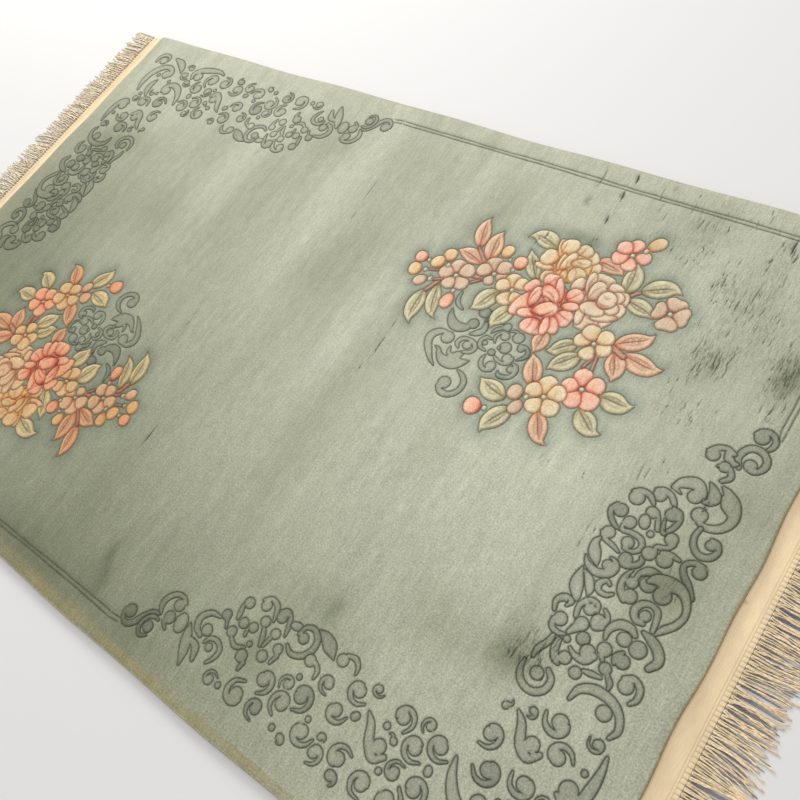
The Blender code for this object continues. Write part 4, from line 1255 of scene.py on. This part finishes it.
def field(material):
    loop = rim_loop(3.0)
    holes = []
    for name in ("bouquet_right", "bouquet_left", "corner_near", "corner_far"):
        hole = LOOPS[name]
        holes.append(hole[::-1] if outward(hole) else hole)
    lines, extra = [], []
    solid_holes = [h for h in holes]

    def free(pts, margin=0.0):
        ok = inside(pts, loop)
        for h in solid_holes:
            ok &= ~inside(pts, h)
        return ok

    for line in BORDER:
        ok = free(line)
        # a line that enters a tile stops at the shared points on its edge
        if ok.any():
            run = line[ok]
            lines.append((run, None, False))
            extra.append(beside(run, (-1.3, 1.3, -2.8, 2.8)))
    for row in CRACKS:
        rows = lens(*row)
        pts = even(rows[:, :2], 3.0, False)
        if free(pts).all():
            lines.append((pts, None, False))
            extra.append(beside(pts, (-0.9, 0.9, -2.1, 2.1)))
    extra = np.vstack(extra)
    _, ld = nearest(LINE_TREE, extra)
    extra = extra[ld > 0.8]
    rows = [rim_loop(i)[::2] for i in (4.6, 6.6)] + [rim_loop(i)[1::2] for i in (9.2, 13.0)]
    grid = hexes(loop.min(0), loop.max(0), 9.0)
    grid = grid[rim_inset(grid) > 18.0]
    _, ld = nearest(LINE_TREE, grid)
    _, fd = nearest(FLOWER_TREE, grid)
    grid = grid[ld > 4.0]
    points = thinned(np.vstack([extra] + rows + [grid]), 1.0)
    points = points[free(points)]
    edge = tree(np.vstack([even(h, 1.5, True) for h in holes] + [even(loop, 1.5, True)]))
    _, bd = nearest(edge, points)
    points = points[bd > 1.4]
    co, tri = triangulate(loop, holes, lines, points)
    z, tint = surface(co, tri, None)
    # the clipped pile rounds over towards the rim
    ring = tree(even(rim_loop(0.0), 1.5, True))
    _, inset = nearest(ring, co)
    z = z - RIM_FALL * np.exp(-inset / 4.4)
    idx = tri.reshape(-1)
    x, y = co[idx, 0], co[idx, 1]
    # olive-yellow mixed in along the near side, at the left end and thinly all round the rim
    near_side = (1 - smooth(16.0 + 2.0 * np.sin(x / 31.0), 31.0, inset[idx])) * (1 - smooth(20.0, 40.0, y + WIDTH / 2)) * (1 - 0.75 * smooth(420.0, 860.0, x))
    left_end = 0.22 * (1 - smooth(8.0, 46.0, LENGTH / 2 + x))
    near_side *= 0.8 + 0.2 * np.sin(x / 23.0 + 1.5 * np.sin(x / 57.0))
    mix = np.maximum(np.maximum(0.15 * np.exp(-inset[idx] / 3.0), 0.72 * near_side), left_end)[:, None]
    tint = tint * (1 - mix) + lin(146, 134, 96) * mix
    # the rim's wall, row by row downwards, darker and browner towards the floor: painted shade at the foot of the pile
    rim = [(rim_loop(1.3), 12.2, lin(160, 160, 134)), (rim_loop(0.2), 10.6, lin(156, 152, 120)), (rim_loop(-0.5), 8.0, lin(150, 134, 98)),
           (rim_loop(-0.8), 5.6, lin(136, 108, 76)), (rim_loop(-0.2), 3.4, lin(128, 96, 68)), (rim_loop(0.2), 1.4, lin(118, 88, 62)), (rim_loop(1.0), 0.0, lin(108, 84, 60))]
    wall = lin(120, 118, 92)
    walls = [rim] + [[(h, 0.0, wall)] for h in holes]
    obj = closed_block("pile_field", co, z, tri, tint, [loop] + holes, walls, material)
    return obj, len(tri)


# ---------------------------------------------------------------- materials
class Nodes:
    def __init__(self, name):
        self.mat = bpy.data.materials.new(name)
        self.mat.use_nodes = True
        self.tree = self.mat.node_tree
        self.shader = self.tree.nodes["Principled BSDF"]
        self.place = self.new("ShaderNodeTexCoord").outputs["Object"]

    def new(self, kind, **inputs):
        node = self.tree.nodes.new(kind)
        for key, value in inputs.items():
            if hasattr(node, key) and key not in node.inputs:
                setattr(node, key, value)
            else:
                self.feed(node.inputs[key.replace("_", " ")] if key.replace("_", " ") in node.inputs else node.inputs[key], value)
        return node

    def feed(self, socket, value):
        if isinstance(value, bpy.types.NodeSocket):
            self.tree.links.new(value, socket)
        else:
            socket.default_value = value

    def math(self, operation, a, b=None, c=None):
        node = self.tree.nodes.new("ShaderNodeMath")
        node.operation = operation
        for socket, value in zip(node.inputs, (a, b, c)):
            if value is not None:
                self.feed(socket, value)
        return node.outputs[0]

    def scaled(self, factors, offset=(0, 0, 0), turn=(0, 0, 0)):
        node = self.tree.nodes.new("ShaderNodeMapping")
        self.feed(node.inputs["Vector"], self.place)
        node.inputs["Scale"].default_value = factors
        node.inputs["Location"].default_value = offset
        node.inputs["Rotation"].default_value = turn
        return node.outputs[0]

    def noise(self, vector, scale=1.0, detail=3.0, rough=0.55):
        node = self.tree.nodes.new("ShaderNodeTexNoise")
        self.feed(node.inputs["Vector"], vector)
        node.inputs["Scale"].default_value = scale
        node.inputs["Detail"].default_value = detail
        node.inputs["Roughness"].default_value = rough
        return node.outputs["Fac"]

    def range(self, value, lo, hi, to_lo, to_hi):
        node = self.tree.nodes.new("ShaderNodeMapRange")
        self.feed(node.inputs["Value"], value)
        for key, v in zip(("From Min", "From Max", "To Min", "To Max"), (lo, hi, to_lo, to_hi)):
            node.inputs[key].default_value = v
        return node.outputs[0]

    def times(self, colour, factor):
        node = self.tree.nodes.new("ShaderNodeVectorMath")
        node.operation = "SCALE"
        self.feed(node.inputs[0], colour)
        self.feed(node.inputs["Scale"], factor)
        return node.outputs[0]

    def tint(self, name="tint"):
        node = self.tree.nodes.new("ShaderNodeAttribute")
        node.attribute_name = name
        return node.outputs["Color"]

    def bump(self, height, strength, distance, normal=None):
        node = self.tree.nodes.new("ShaderNodeBump")
        node.inputs["Strength"].default_value = strength
        node.inputs["Distance"].default_value = distance
        self.feed(node.inputs["Height"], height)
        if normal is not None:
            self.feed(node.inputs["Normal"], normal)
        return node.outputs[0]


def pile_wool():
    n = Nodes("carved_wool_pile")
    # fibre tips, knots in rows along the rug, and soft strokes across it where the nap turns, painted light and shade
    tips = n.noise(n.scaled((1000, 1000, 1000)), 0.9, 2.0, 0.6)
    tufts = n.noise(n.scaled((1000, 1000, 400)), 0.34, 2.0, 0.5)
    strokes = n.noise(n.scaled((230, 34, 60)), 1.0, 3.0, 0.6)
    bands = n.noise(n.scaled((9.0, 1.3, 1.0), offset=(3.1, 0.7, 0)), 1.0, 3.0, 0.5)
    clouds = n.noise(n.scaled((5.5, 4.0, 1.0), offset=(1.7, 5.2, 0)), 1.0, 4.0, 0.55)
    mottle = n.noise(n.scaled((60, 60, 20)), 1.0, 3.0, 0.6)
    # the pile stands more open towards the near side
    across = n.tree.nodes.new("ShaderNodeSeparateXYZ")
    n.feed(across.inputs[0], n.place)
    open_pile = n.range(across.outputs["Y"], -0.30, 0.35, 1.45, 0.95)
    tuft_gain = n.math("ADD", 1.0, n.math("MULTIPLY", n.range(tufts, 0.25, 0.75, -0.17, 0.17), open_pile))
    gain = n.math("MULTIPLY", n.range(tips, 0.25, 0.75, 0.84, 1.16), tuft_gain)
    streaks = n.noise(n.scaled((48, 6, 1), offset=(0.4, 2.1, 0)), 1.0, 3.0, 0.6)
    # the strokes, streaks, bands and clouds paint the nap's light and shade into the colour
    gain = n.math("MULTIPLY", gain, n.range(strokes, 0.3, 0.7, 0.92, 1.08))
    gain = n.math("MULTIPLY", gain, n.range(streaks, 0.3, 0.7, 0.93, 1.07))
    gain = n.math("MULTIPLY", gain, n.range(bands, 0.3, 0.7, 0.96, 1.04))
    gain = n.math("MULTIPLY", gain, n.range(clouds, 0.3, 0.7, 0.97, 1.03))
    gain = n.math("MULTIPLY", gain, n.range(mottle, 0.3, 0.7, 0.955, 1.045))
    # in the wrinkled patches the colour is darkened along the wrinkles: painted shade in their folds, with bump
    wear_and_shade_node = n.tree.nodes.new("ShaderNodeAttribute")
    wear_and_shade_node.attribute_name = "wear_and_shade"
    ruck = n.range(n.noise(n.scaled((380, 62, 1), offset=(0.2, 0.9, 0), turn=(0, 0, 0.04)), 1.0, 3.0, 0.6), 0.52, 0.66, 0.0, 1.0)
    ruck = n.math("MULTIPLY", ruck, wear_and_shade_node.outputs["Fac"])
    gain = n.math("MULTIPLY", gain, n.math("SUBTRACT", 1.0, n.math("MULTIPLY", ruck, 0.36)))
    n.feed(n.shader.inputs["Base Color"], n.times(n.tint(), gain))
    n.shader.inputs["Roughness"].default_value = 0.93
    n.shader.inputs["Specular IOR Level"].default_value = 0.25
    n.shader.inputs["Sheen Weight"].default_value = 0.22
    n.shader.inputs["Sheen Roughness"].default_value = 0.45
    n.shader.inputs["Sheen Tint"].default_value = (0.95, 0.96, 0.88, 1)
    fine = n.math("ADD", n.math("MULTIPLY", tips, 0.5), tufts)
    fine = n.math("ADD", fine, n.math("MULTIPLY", strokes, 0.8))
    fine = n.math("SUBTRACT", fine, n.math("MULTIPLY", ruck, 1.3))
    n.feed(n.shader.inputs["Normal"], n.bump(fine, 0.7, 0.0012))
    return n.mat


def web_cotton():
    n = Nodes("end_web_weave")
    over = n.tree.nodes.new("ShaderNodeTexWave")
    over.wave_type, over.bands_direction, over.wave_profile = "BANDS", "X", "SIN"
    n.feed(over.inputs["Vector"], n.scaled((1, 1, 1)))
    over.inputs["Scale"].default_value = 150.0
    over.inputs["Distortion"].default_value = 1.2
    over.inputs["Detail"].default_value = 2.0
    along = n.tree.nodes.new("ShaderNodeTexWave")
    along.wave_type, along.bands_direction, along.wave_profile = "BANDS", "Y", "SIN"
    n.feed(along.inputs["Vector"], n.scaled((1, 1, 1)))
    along.inputs["Scale"].default_value = 190.0
    along.inputs["Distortion"].default_value = 1.5
    weave = n.math("MULTIPLY", over.outputs["Fac"], along.outputs["Fac"])
    wear_and_shade = n.noise(n.scaled((24, 7, 1)), 1.0, 4.0, 0.6)
    slub = n.noise(n.scaled((700, 60, 60)), 1.0, 2.0, 0.5)
    gain = n.math("MULTIPLY", n.range(weave, 0.0, 1.0, 0.93, 1.04), n.range(wear_and_shade, 0.3, 0.7, 0.94, 1.04))
    gain = n.math("MULTIPLY", gain, n.range(slub, 0.3, 0.7, 0.95, 1.04))
    n.feed(n.shader.inputs["Base Color"], n.times(n.tint(), gain))
    n.shader.inputs["Roughness"].default_value = 0.9
    n.shader.inputs["Specular IOR Level"].default_value = 0.25
    n.shader.inputs["Sheen Weight"].default_value = 0.1
    n.feed(n.shader.inputs["Normal"], n.bump(n.math("ADD", weave, n.math("MULTIPLY", slub, 0.6)), 0.5, 0.0005))
    return n.mat


def yarn_cotton():
    n = Nodes("fringe_yarn")
    twist = n.tree.nodes.new("ShaderNodeAttribute")
    twist.attribute_name = "twist"
    ply = n.math("SINE", twist.outputs["Fac"])
    hair = n.noise(n.scaled((900, 1500, 1500)), 1.0, 2.0, 0.6)
    # the twist's light and dark bands: painted shade of the plies, with bump below
    gain = n.math("MULTIPLY", n.range(ply, -1.0, 1.0, 0.90, 1.05), n.range(hair, 0.25, 0.75, 0.94, 1.06))
    n.feed(n.shader.inputs["Base Color"], n.times(n.tint(), gain))
    n.shader.inputs["Roughness"].default_value = 0.88
    n.shader.inputs["Specular IOR Level"].default_value = 0.25
    n.shader.inputs["Sheen Weight"].default_value = 0.15
    n.feed(n.shader.inputs["Normal"], n.bump(n.math("ADD", ply, hair), 0.6, 0.0003))
    return n.mat


# ---------------------------------------------------------------- end webs
KNOTS = 165                # bundles of warps along an end


def end_web(name, side, material):
    """The flat-woven web: its inner edge follows the pile, two stitched rows run near its outer edge."""
    ys = np.linspace(-WIDTH / 2, WIDTH / 2, 4 * KNOTS + 1)
    t = np.concatenate([np.linspace(0, 0.62, 12), np.linspace(0.66, 1, 22)])
    inner = np.array([abs(end_x(side, y)) + GAP for y in ys])
    outer = LENGTH / 2 + BAND
    X = inner[:, None] * (1 - t) + outer * t
    Y = np.repeat(ys[:, None], len(t), 1)
    z = 2.15 + 0.16 * np.sin(Y / 37.0 + side) + 0.12 * np.sin(Y / 11.0 + X / 5.0)
    for at, high in ((952.5, 0.35), (956.5, 0.35)):
        line = at + 0.5 * np.sin(Y / 90.0 + at)
        z += high * np.exp(-((X - line) / 1.0) ** 2) * (0.55 + 0.45 * np.sin(Y / 5.2 * 2 * math.pi))
    between = np.clip(-np.cos(Y / (WIDTH / KNOTS) * 2 * math.pi), 0, 1)      # 1 between two knots
    z += smooth(955.6, 957.4, X) * (0.55 - 0.7 * between)
    z = z * (1 - 0.6 * np.exp(-((Y - WIDTH / 2) / 2.0) ** 2)) * (1 - 0.6 * np.exp(-((Y + WIDTH / 2) / 2.0) ** 2))
    base = lin(232, 208, 170)
    tint = np.ones(X.shape + (3,)) * base
    tint *= (1 + 0.035 * np.sin(Y / 64.0 + 1.7 * side) + 0.03 * np.sin(Y / 17.0 + X / 9.0))[..., None]
    # painted shadow of the pile along the web's inner edge; the other two terms are darker stitched lines
    shade = 0.30 * np.exp(-((X - inner[:, None]) / 1.8) ** 2) + 0.24 * np.exp(-((X - 950.5 - 0.5 * np.sin(Y / 90.0)) / 0.7) ** 2) + 0.26 * np.exp(-((X - 954.5 - 0.5 * np.sin(Y / 90.0)) / 0.7) ** 2)
    tint *= (1 - shade)[..., None] * np.array([1.0, 0.985, 0.95]) ** (shade * 4)[..., None]
    # painted shade between the knots along the outer edge
    knot_gap_shade = (0.34 if side > 0 else 0.16) * np.exp(-((X - 956.2) / 1.5) ** 2) * between ** 2 + (0.42 if side > 0 else 0.15) * smooth(956.8, 959.5, X) * between ** 2
    tint *= (1 - knot_gap_shade)[..., None]
    if side > 0:
        mark = np.exp(-((X - 925.5) / 4.0) ** 2 - ((Y + 33) / 3.0) ** 2)
        tint = tint * (1 - 0.5 * mark[..., None]) + lin(120, 118, 104) * 0.5 * mark[..., None]
    # painted light: the web is lightened just beyond the pile's edge, over the shadow the pile casts there
    tint = np.minimum(tint * (1 + 0.20 * np.exp(-((X - inner[:, None] - 4.0) / 9.0) ** 2))[..., None], 0.97)
    rows, cols = X.shape
    top = np.stack([side * X, Y, z], -1).reshape(-1, 3)
    under = np.stack([side * X, Y, 0.0 * z], -1).reshape(-1, 3)
    i, j = np.meshgrid(np.arange(rows - 1), np.arange(cols - 1), indexing="ij")
    a = (i * cols + j).ravel()
    quad = np.stack([a, a + 1, a + cols + 1, a + cols], 1)
    if side < 0:
        quad = quad[:, ::-1]
    ring = np.concatenate([np.arange(cols), np.arange(1, rows) * cols + cols - 1, (rows - 1) * cols + np.arange(cols - 2, -1, -1), np.arange(rows - 2, 0, -1) * cols])
    if side < 0:
        ring = ring[::-1]
    n_top = rows * cols
    nxt = np.roll(ring, -1)
    wall = np.stack([ring, ring + n_top, nxt + n_top, nxt], 1)
    rim_under = ring + n_top
    used = np.concatenate([np.arange(n_top), np.sort(rim_under)])
    remap = np.full(2 * n_top, -1)
    remap[used] = np.arange(len(used))
    verts = np.vstack([top, under])[used]
    # the underside is a ladder of quads between its two long edges
    left = np.arange(rows) * cols + n_top
    right = left + cols - 1
    inner_cols_first = [n_top + k for k in range(cols)]
    ladder = np.stack([left[1:-2], left[2:-1], right[2:-1], right[1:-2]], 1)
    ends = [np.array(inner_cols_first + [right[1], left[1]]), np.array([left[-2], right[-2]] + [n_top + (rows - 1) * cols + k for k in range(cols - 1, -1, -1)])]
    if side < 0:
        ladder = ladder[:, ::-1]
    corner = tint.reshape(-1, 3)
    faces = [remap[quad], remap[wall[:, ::-1]] if False else remap[wall]]
    tints = [corner[quad.ravel()], corner[np.where(wall.ravel() >= n_top, wall.ravel() - n_top, wall.ravel())] * 0.8]
    faces.append(remap[ladder])
    tints.append(np.repeat(base[None] * 0.8, ladder.size, 0))
    for e in ends:
        e = e if side > 0 else e[::-1]
        faces.append(remap[e][None])
        tints.append(np.repeat(base[None] * 0.8, len(e), 0))
    return piece_mesh(name, verts, faces, np.vstack(tints), material)


# ---------------------------------------------------------------- fringes
def tubes(paths, radii, sides=5):
    """Closed tubes along paths (yarn, point, xyz); returns points, quads, end faces and each point's place round and along."""
    count, steps, _ = paths.shape
    way = np.gradient(paths, axis=1)
    way /= np.maximum(np.linalg.norm(way, axis=2, keepdims=True), 1e-9)
    up = np.array([0.0, 0.0, 1.0])
    side = np.cross(up, way)
    side /= np.maximum(np.linalg.norm(side, axis=2, keepdims=True), 1e-9)
    rise = np.cross(way, side)
    ang = 2 * math.pi * np.arange(sides) / sides
    ring = paths[:, :, None, :] + radii[:, :, None, None] * (side[:, :, None, :] * np.cos(ang)[None, None, :, None] + rise[:, :, None, :] * np.sin(ang)[None, None, :, None])
    verts = ring.reshape(-1, 3)
    c, s, k = np.meshgrid(np.arange(count), np.arange(steps - 1), np.arange(sides), indexing="ij")
    base = c * steps * sides + s * sides
    a, b = base + k, base + (k + 1) % sides
    quads = np.stack([a, b, b + sides, a + sides], -1).reshape(-1, 4)
    start = (np.arange(count) * steps * sides)[:, None] + np.arange(sides)[None, ::-1]
    finish = (np.arange(count) * steps * sides + (steps - 1) * sides)[:, None] + np.arange(sides)[None]
    along = np.repeat(np.linspace(0, 1, steps)[None, :, None], count, 0) * np.ones((1, 1, sides))
    return verts, quads, start, finish, along.reshape(-1), np.tile(ang, count * steps)


def fringe(name, side, seed, material):
    """Knotted bundles of warp yarn; the yarns sweep along the floor and cross one another."""
    rng = np.random.default_rng(seed)
    bundles = KNOTS
    pitch = WIDTH / bundles
    yarns, steps = 4, 18               # two strands of two yarns hang from each knot
    frizz = 1.0 if side > 0 else 1.6
    start_x = LENGTH / 2 + BAND + GAP
    total = bundles * yarns
    which = np.repeat(np.arange(bundles), yarns)
    strand = np.tile([-0.5, -0.5, 0.5, 0.5], bundles)
    ply = np.tile([-0.5, 0.5, -0.5, 0.5], bundles)
    y0 = -WIDTH / 2 + (which + 0.5) * pitch
    t = np.linspace(0, 1, steps)

    def each_strand(values):
        return np.repeat(values, 2)

    reach = REACH * each_strand(rng.uniform(0.70 if side > 0 else 0.60, 0.985, bundles * 2)) * rng.uniform(0.95, 1.0, total)
    # slow drift of whole groups, then each bundle, each strand and each yarn
    group = 5.0 * np.sin(y0 / (34.0 if side > 0 else 27.0) + seed) + 3.4 * np.sin(y0 / 13.5 + 2.0 * seed)
    own = np.repeat(rng.normal(0, 2.2 * frizz, bundles), yarns) + each_strand(rng.normal(0, 1.9 * frizz, bundles * 2)) + rng.normal(0, 0.5 * frizz, total)
    bow = np.repeat(rng.normal(0, 1.8, bundles), yarns) + each_strand(rng.normal(0, 1.1 * frizz, bundles * 2))
    crimp = each_strand(rng.uniform(0.2, 0.8, bundles * 2)) * frizz
    phase = each_strand(rng.uniform(0, 2 * math.pi, bundles * 2))
    wave = each_strand(rng.uniform(14, 24, bundles * 2))
    X = start_x + 1.2 + (HEADER + reach - 1.2)[:, None] * t[None]
    gather = 1 - np.exp(-t / 0.12)
    wind = phase[:, None] + (9.0 + 4.0 * np.sin(phase))[:, None] * t[None]
    Y = y0[:, None] + (strand * pitch)[:, None] * (0.34 + 0.16 * gather)[None] + (group + own)[:, None] * (t ** 1.35)[None] + bow[:, None] * np.sin(math.pi * t)[None]
    Y += (ply * 1.35)[:, None] * np.cos(wind)
    Y += crimp[:, None] * np.sin(t[None] * wave[:, None] + phase[:, None]) * (0.25 + t[None])
    limit = WIDTH / 2 + 1.0
    Y = np.clip(Y, -limit, limit)
    level = each_strand(rng.uniform(0.0, 1.0, bundles * 2))
    lift = 0.6 + level * 2.6
    Z = 1.7 * (1 - t[None]) ** 2 + lift[:, None] * (0.35 + 0.65 * (1 - t[None] ** 2)) + (ply * 1.1)[:, None] * np.sin(wind)
    Z = np.maximum(Z, 0.5)
    R = (rng.uniform(0.80, 1.0, total) * (1.0 if side > 0 else 1.08))[:, None] * (1 - 0.22 * t[None]) * (1 + 0.08 * np.sin(t[None] * 30 + phase[:, None]))
    R[:, -1] *= 0.45
    paths = np.stack([side * X, Y, Z + R], -1)
    verts, quads, start, finish, along, ang = tubes(paths, R)
    if side < 0:
        quads, start, finish = quads, start, finish
    base = lin(250, 226, 186) if side > 0 else lin(246, 230, 200)
    shade = rng.uniform(0.84, 1.06, total)
    warm = rng.uniform(0.97, 1.03, total)
    # each yarn a little darker towards its knot: painted shade at its root
    per = shade[:, None, None] * (0.90 + 0.12 * t)[None, :, None] * np.array([1.0, 1.0, 1.0])
    tint = base[None, None] * per
    tint[..., 2] *= warm[:, None]
    # strands that lie lower are darker: painted shade
    tint *= (0.86 + 0.14 * np.clip(level, 0, 1))[:, None, None]
    tint_v = np.repeat(tint.reshape(-1, 3), 5, 0)
    # yarns that lie in the others' shade, flat on the floor, tinted darker: painted shade in the gaps between the
    # strands
    low = 2 * bundles + 1
    few = 11
    tl = np.linspace(0, 1, few)
    yl = -WIDTH / 2 + 1.4 + (WIDTH - 2.8) * np.arange(low) / (low - 1)
    sway = 5.0 * np.sin(yl / (34.0 if side > 0 else 27.0) + seed) + 3.4 * np.sin(yl / 13.5 + 2.0 * seed)
    xl = start_x + 1.0 + (HEADER + REACH * rng.uniform(0.55, 0.90, low))[:, None] * tl[None]
    yy = yl[:, None] + (sway + rng.normal(0, 1.6 * frizz, low))[:, None] * (tl ** 1.35)[None] + rng.normal(0, 1.0, low)[:, None] * np.sin(math.pi * tl)[None]
    rl = rng.uniform(1.05, 1.35, low)[:, None] * (1 - 0.25 * tl[None])
    rl[:, -1] *= 0.4
    lower = np.stack([side * xl, np.clip(yy, -limit, limit), rl + 0.15], -1)
    lv, lq, ls, lf, la, lang = tubes(lower, rl, 4)
    gap_shade_tint = (lin(146, 138, 138) if side > 0 else lin(196, 180, 154))[None, None] * (rng.uniform(0.82, 1.12, low)[:, None] * (0.92 + 0.16 * tl)[None])[..., None]
    lq, ls, lf = lq + len(verts), ls + len(verts), lf + len(verts)
    verts, tint_v = np.vstack([verts, lv]), np.vstack([tint_v, np.repeat(gap_shade_tint.reshape(-1, 3), 4, 0)])
    along, ang, quads = np.concatenate([along, la]), np.concatenate([ang, lang]), np.vstack([quads, lq])
    # the knots that hold the bundles
    kv, kq, kt = [], [], []
    count = len(verts)
    rings, around = 5, 8
    for i in range(bundles):
        y = -WIDTH / 2 + (i + 0.5) * pitch
        rx, ry, rz = 3.2 * rng.uniform(0.9, 1.1), 3.15 * rng.uniform(0.9, 1.08), 1.8
        cx = start_x + max(3.0 + rng.normal(0, 0.3), rx - 0.2)
        cz = 2.14
        theta = np.linspace(0, math.pi, rings + 2)[1:-1]
        phi = np.linspace(0, 2 * math.pi, around, endpoint=False)
        T, P = np.meshgrid(theta, phi, indexing="ij")
        wob = 1 + 0.10 * np.sin(3 * P + i) + 0.07 * np.sin(5 * T + 2 * i)
        pts = np.stack([cx + rx * np.cos(T), y + ry * np.sin(T) * np.cos(P) * wob, cz + rz * np.sin(T) * np.sin(P) * wob], -1)
        pts[..., 0] *= side
        pts = np.vstack([pts.reshape(-1, 3), [[side * (cx + rx), y, cz], [side * (cx - rx), y, cz]]])
        base_i = count
        count += len(pts)
        kv.append(pts)
        r, c = np.meshgrid(np.arange(rings - 1), np.arange(around), indexing="ij")
        a = (base_i + r * around + c).ravel()
        b = (base_i + r * around + (c + 1) % around).ravel()
        kq.append(np.stack([a, a + around, b + around, b], 1))
        kt.append((base_i, len(pts)))
    kv = np.vstack(kv)
    knots = np.vstack(kq)
    caps = []
    for base_i, size in kt:
        first, last = base_i + size - 2, base_i + size - 1
        for c in range(around):
            caps.append((first, base_i + c, base_i + (c + 1) % around))
            caps.append((last, base_i + (rings - 1) * around + (c + 1) % around, base_i + (rings - 1) * around + c))
    caps = np.array(caps)
    all_verts = np.vstack([verts, kv])
    knot_tint = np.repeat((base * (0.90 if side > 0 else 0.97))[None], len(kv), 0) * rng.uniform(0.9, 1.05, len(kv))[:, None]
    vt = np.vstack([tint_v, knot_tint])
    faces = [quads, knots, start, finish, ls, lf, caps]
    corner = np.vstack([vt[f.ravel()] for f in faces])
    obj = piece_mesh(name, all_verts, faces, corner, material)
    # mend the winding once for all loose parts
    import bmesh
    bm = bmesh.new()
    bm.from_mesh(obj.data)
    bmesh.ops.recalc_face_normals(bm, faces=bm.faces)
    bm.to_mesh(obj.data)
    bm.free()
    twist = np.concatenate([along * 62.0 + ang, np.linspace(0, 40, len(kv))]).astype(np.float32)
    layer = obj.data.attributes.new("twist", "FLOAT", "POINT")
    layer.data.foreach_set("value", twist)
    return obj


# ---------------------------------------------------------------- the pieces
wool, cotton, yarn = pile_wool(), web_cotton(), yarn_cotton()

counts = {}
pile, counts["pile_field"] = field(wool)
tiles = []
for tile_name in ("bouquet_right", "bouquet_left", "corner_near", "corner_far"):
    tile, counts[tile_name] = motif_tile(tile_name, wool)
    tiles.append(tile)
webs = [end_web("end_web_right", 1, cotton), end_web("end_web_left", -1, cotton)]
fringes = [fringe("fringe_yarns_right", 1, 11, yarn), fringe("fringe_yarns_left", -1, 23, yarn)]

for piece in [pile] + tiles:
    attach(piece, "root")
    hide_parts("rug_pile")
for piece, node in zip(webs, ("end_band_right", "end_band_left")):
    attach(piece, "root")
    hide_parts(node)
for piece, node in zip(fringes, ("fringe_right", "fringe_left")):
    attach(piece, "root")
    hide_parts(node)


# ---------------------------------------------------------------- floor, light and camera
floor_mesh = bpy.data.meshes.new("floor")
floor_mesh.from_pydata([(-9, -9, -0.0004), (9, -9, -0.0004), (9, 9, -0.0004), (-9, 9, -0.0004)], [], [(0, 1, 2, 3)])
floor = bpy.data.objects.new("floor", floor_mesh)
bpy.context.scene.collection.objects.link(floor)
floor_mat = bpy.data.materials.new("pale_floor")
floor_mat.use_nodes = True
floor_mat.node_tree.nodes["Principled BSDF"].inputs["Base Color"].default_value = (0.66, 0.645, 0.63, 1)
floor_mat.node_tree.nodes["Principled BSDF"].inputs["Roughness"].default_value = 0.7
floor_mesh.materials.append(floor_mat)


def soft_light(name, place, aim, size, power, colour=(1, 1, 1)):
    data = bpy.data.lights.new(name, "AREA")
    data.shape, data.size, data.size_y = "RECTANGLE", size[0], size[1]
    data.energy, data.color = power, colour
    lamp = bpy.data.objects.new(name, data)
    lamp.location = place
    lamp.rotation_euler = (Vector(aim) - Vector(place)).to_track_quat("-Z", "Y").to_euler()
    bpy.context.scene.collection.objects.link(lamp)


soft_light("window_side", (-2.6, 2.9, 2.4), (0.1, 0.0, 0.0), (2.6, 1.8), 150, (1.0, 0.99, 0.97))
soft_light("overhead", (0.3, -0.2, 4.2), (0.0, 0.0, 0.0), (4.0, 4.0), 80)
world = bpy.data.worlds.new("studio")
bpy.context.scene.world = world
world.use_nodes = True
world.node_tree.nodes["Background"].inputs["Color"].default_value = (0.97, 0.985, 1.0, 1)
world.node_tree.nodes["Background"].inputs["Strength"].default_value = 0.55

bpy.context.scene.view_settings.view_transform = "Standard"

turn = Vector((2.577108, 0.717005, -0.567439))
spin = Matrix.Rotation(turn.length, 3, turn.normalized())
pose = (spin.transposed() @ Matrix(((1, 0, 0), (0, -1, 0), (0, 0, -1)))).to_4x4()
pose.translation = Vector((0.9899, -0.3834, 1.2111))
lens_data = bpy.data.cameras.new("camera")
lens_data.lens, lens_data.sensor_width = 37.29, 36.0
lens_data.clip_start, lens_data.clip_end = 0.05, 60.0
camera = bpy.data.objects.new("camera", lens_data)
camera.matrix_world = pose
bpy.context.scene.collection.objects.link(camera)
bpy.context.scene.camera = camera

print("TRIANGLES", {o.name: sum(len(p.vertices) - 2 for p in o.data.polygons) for o in [pile] + tiles + webs + fringes})
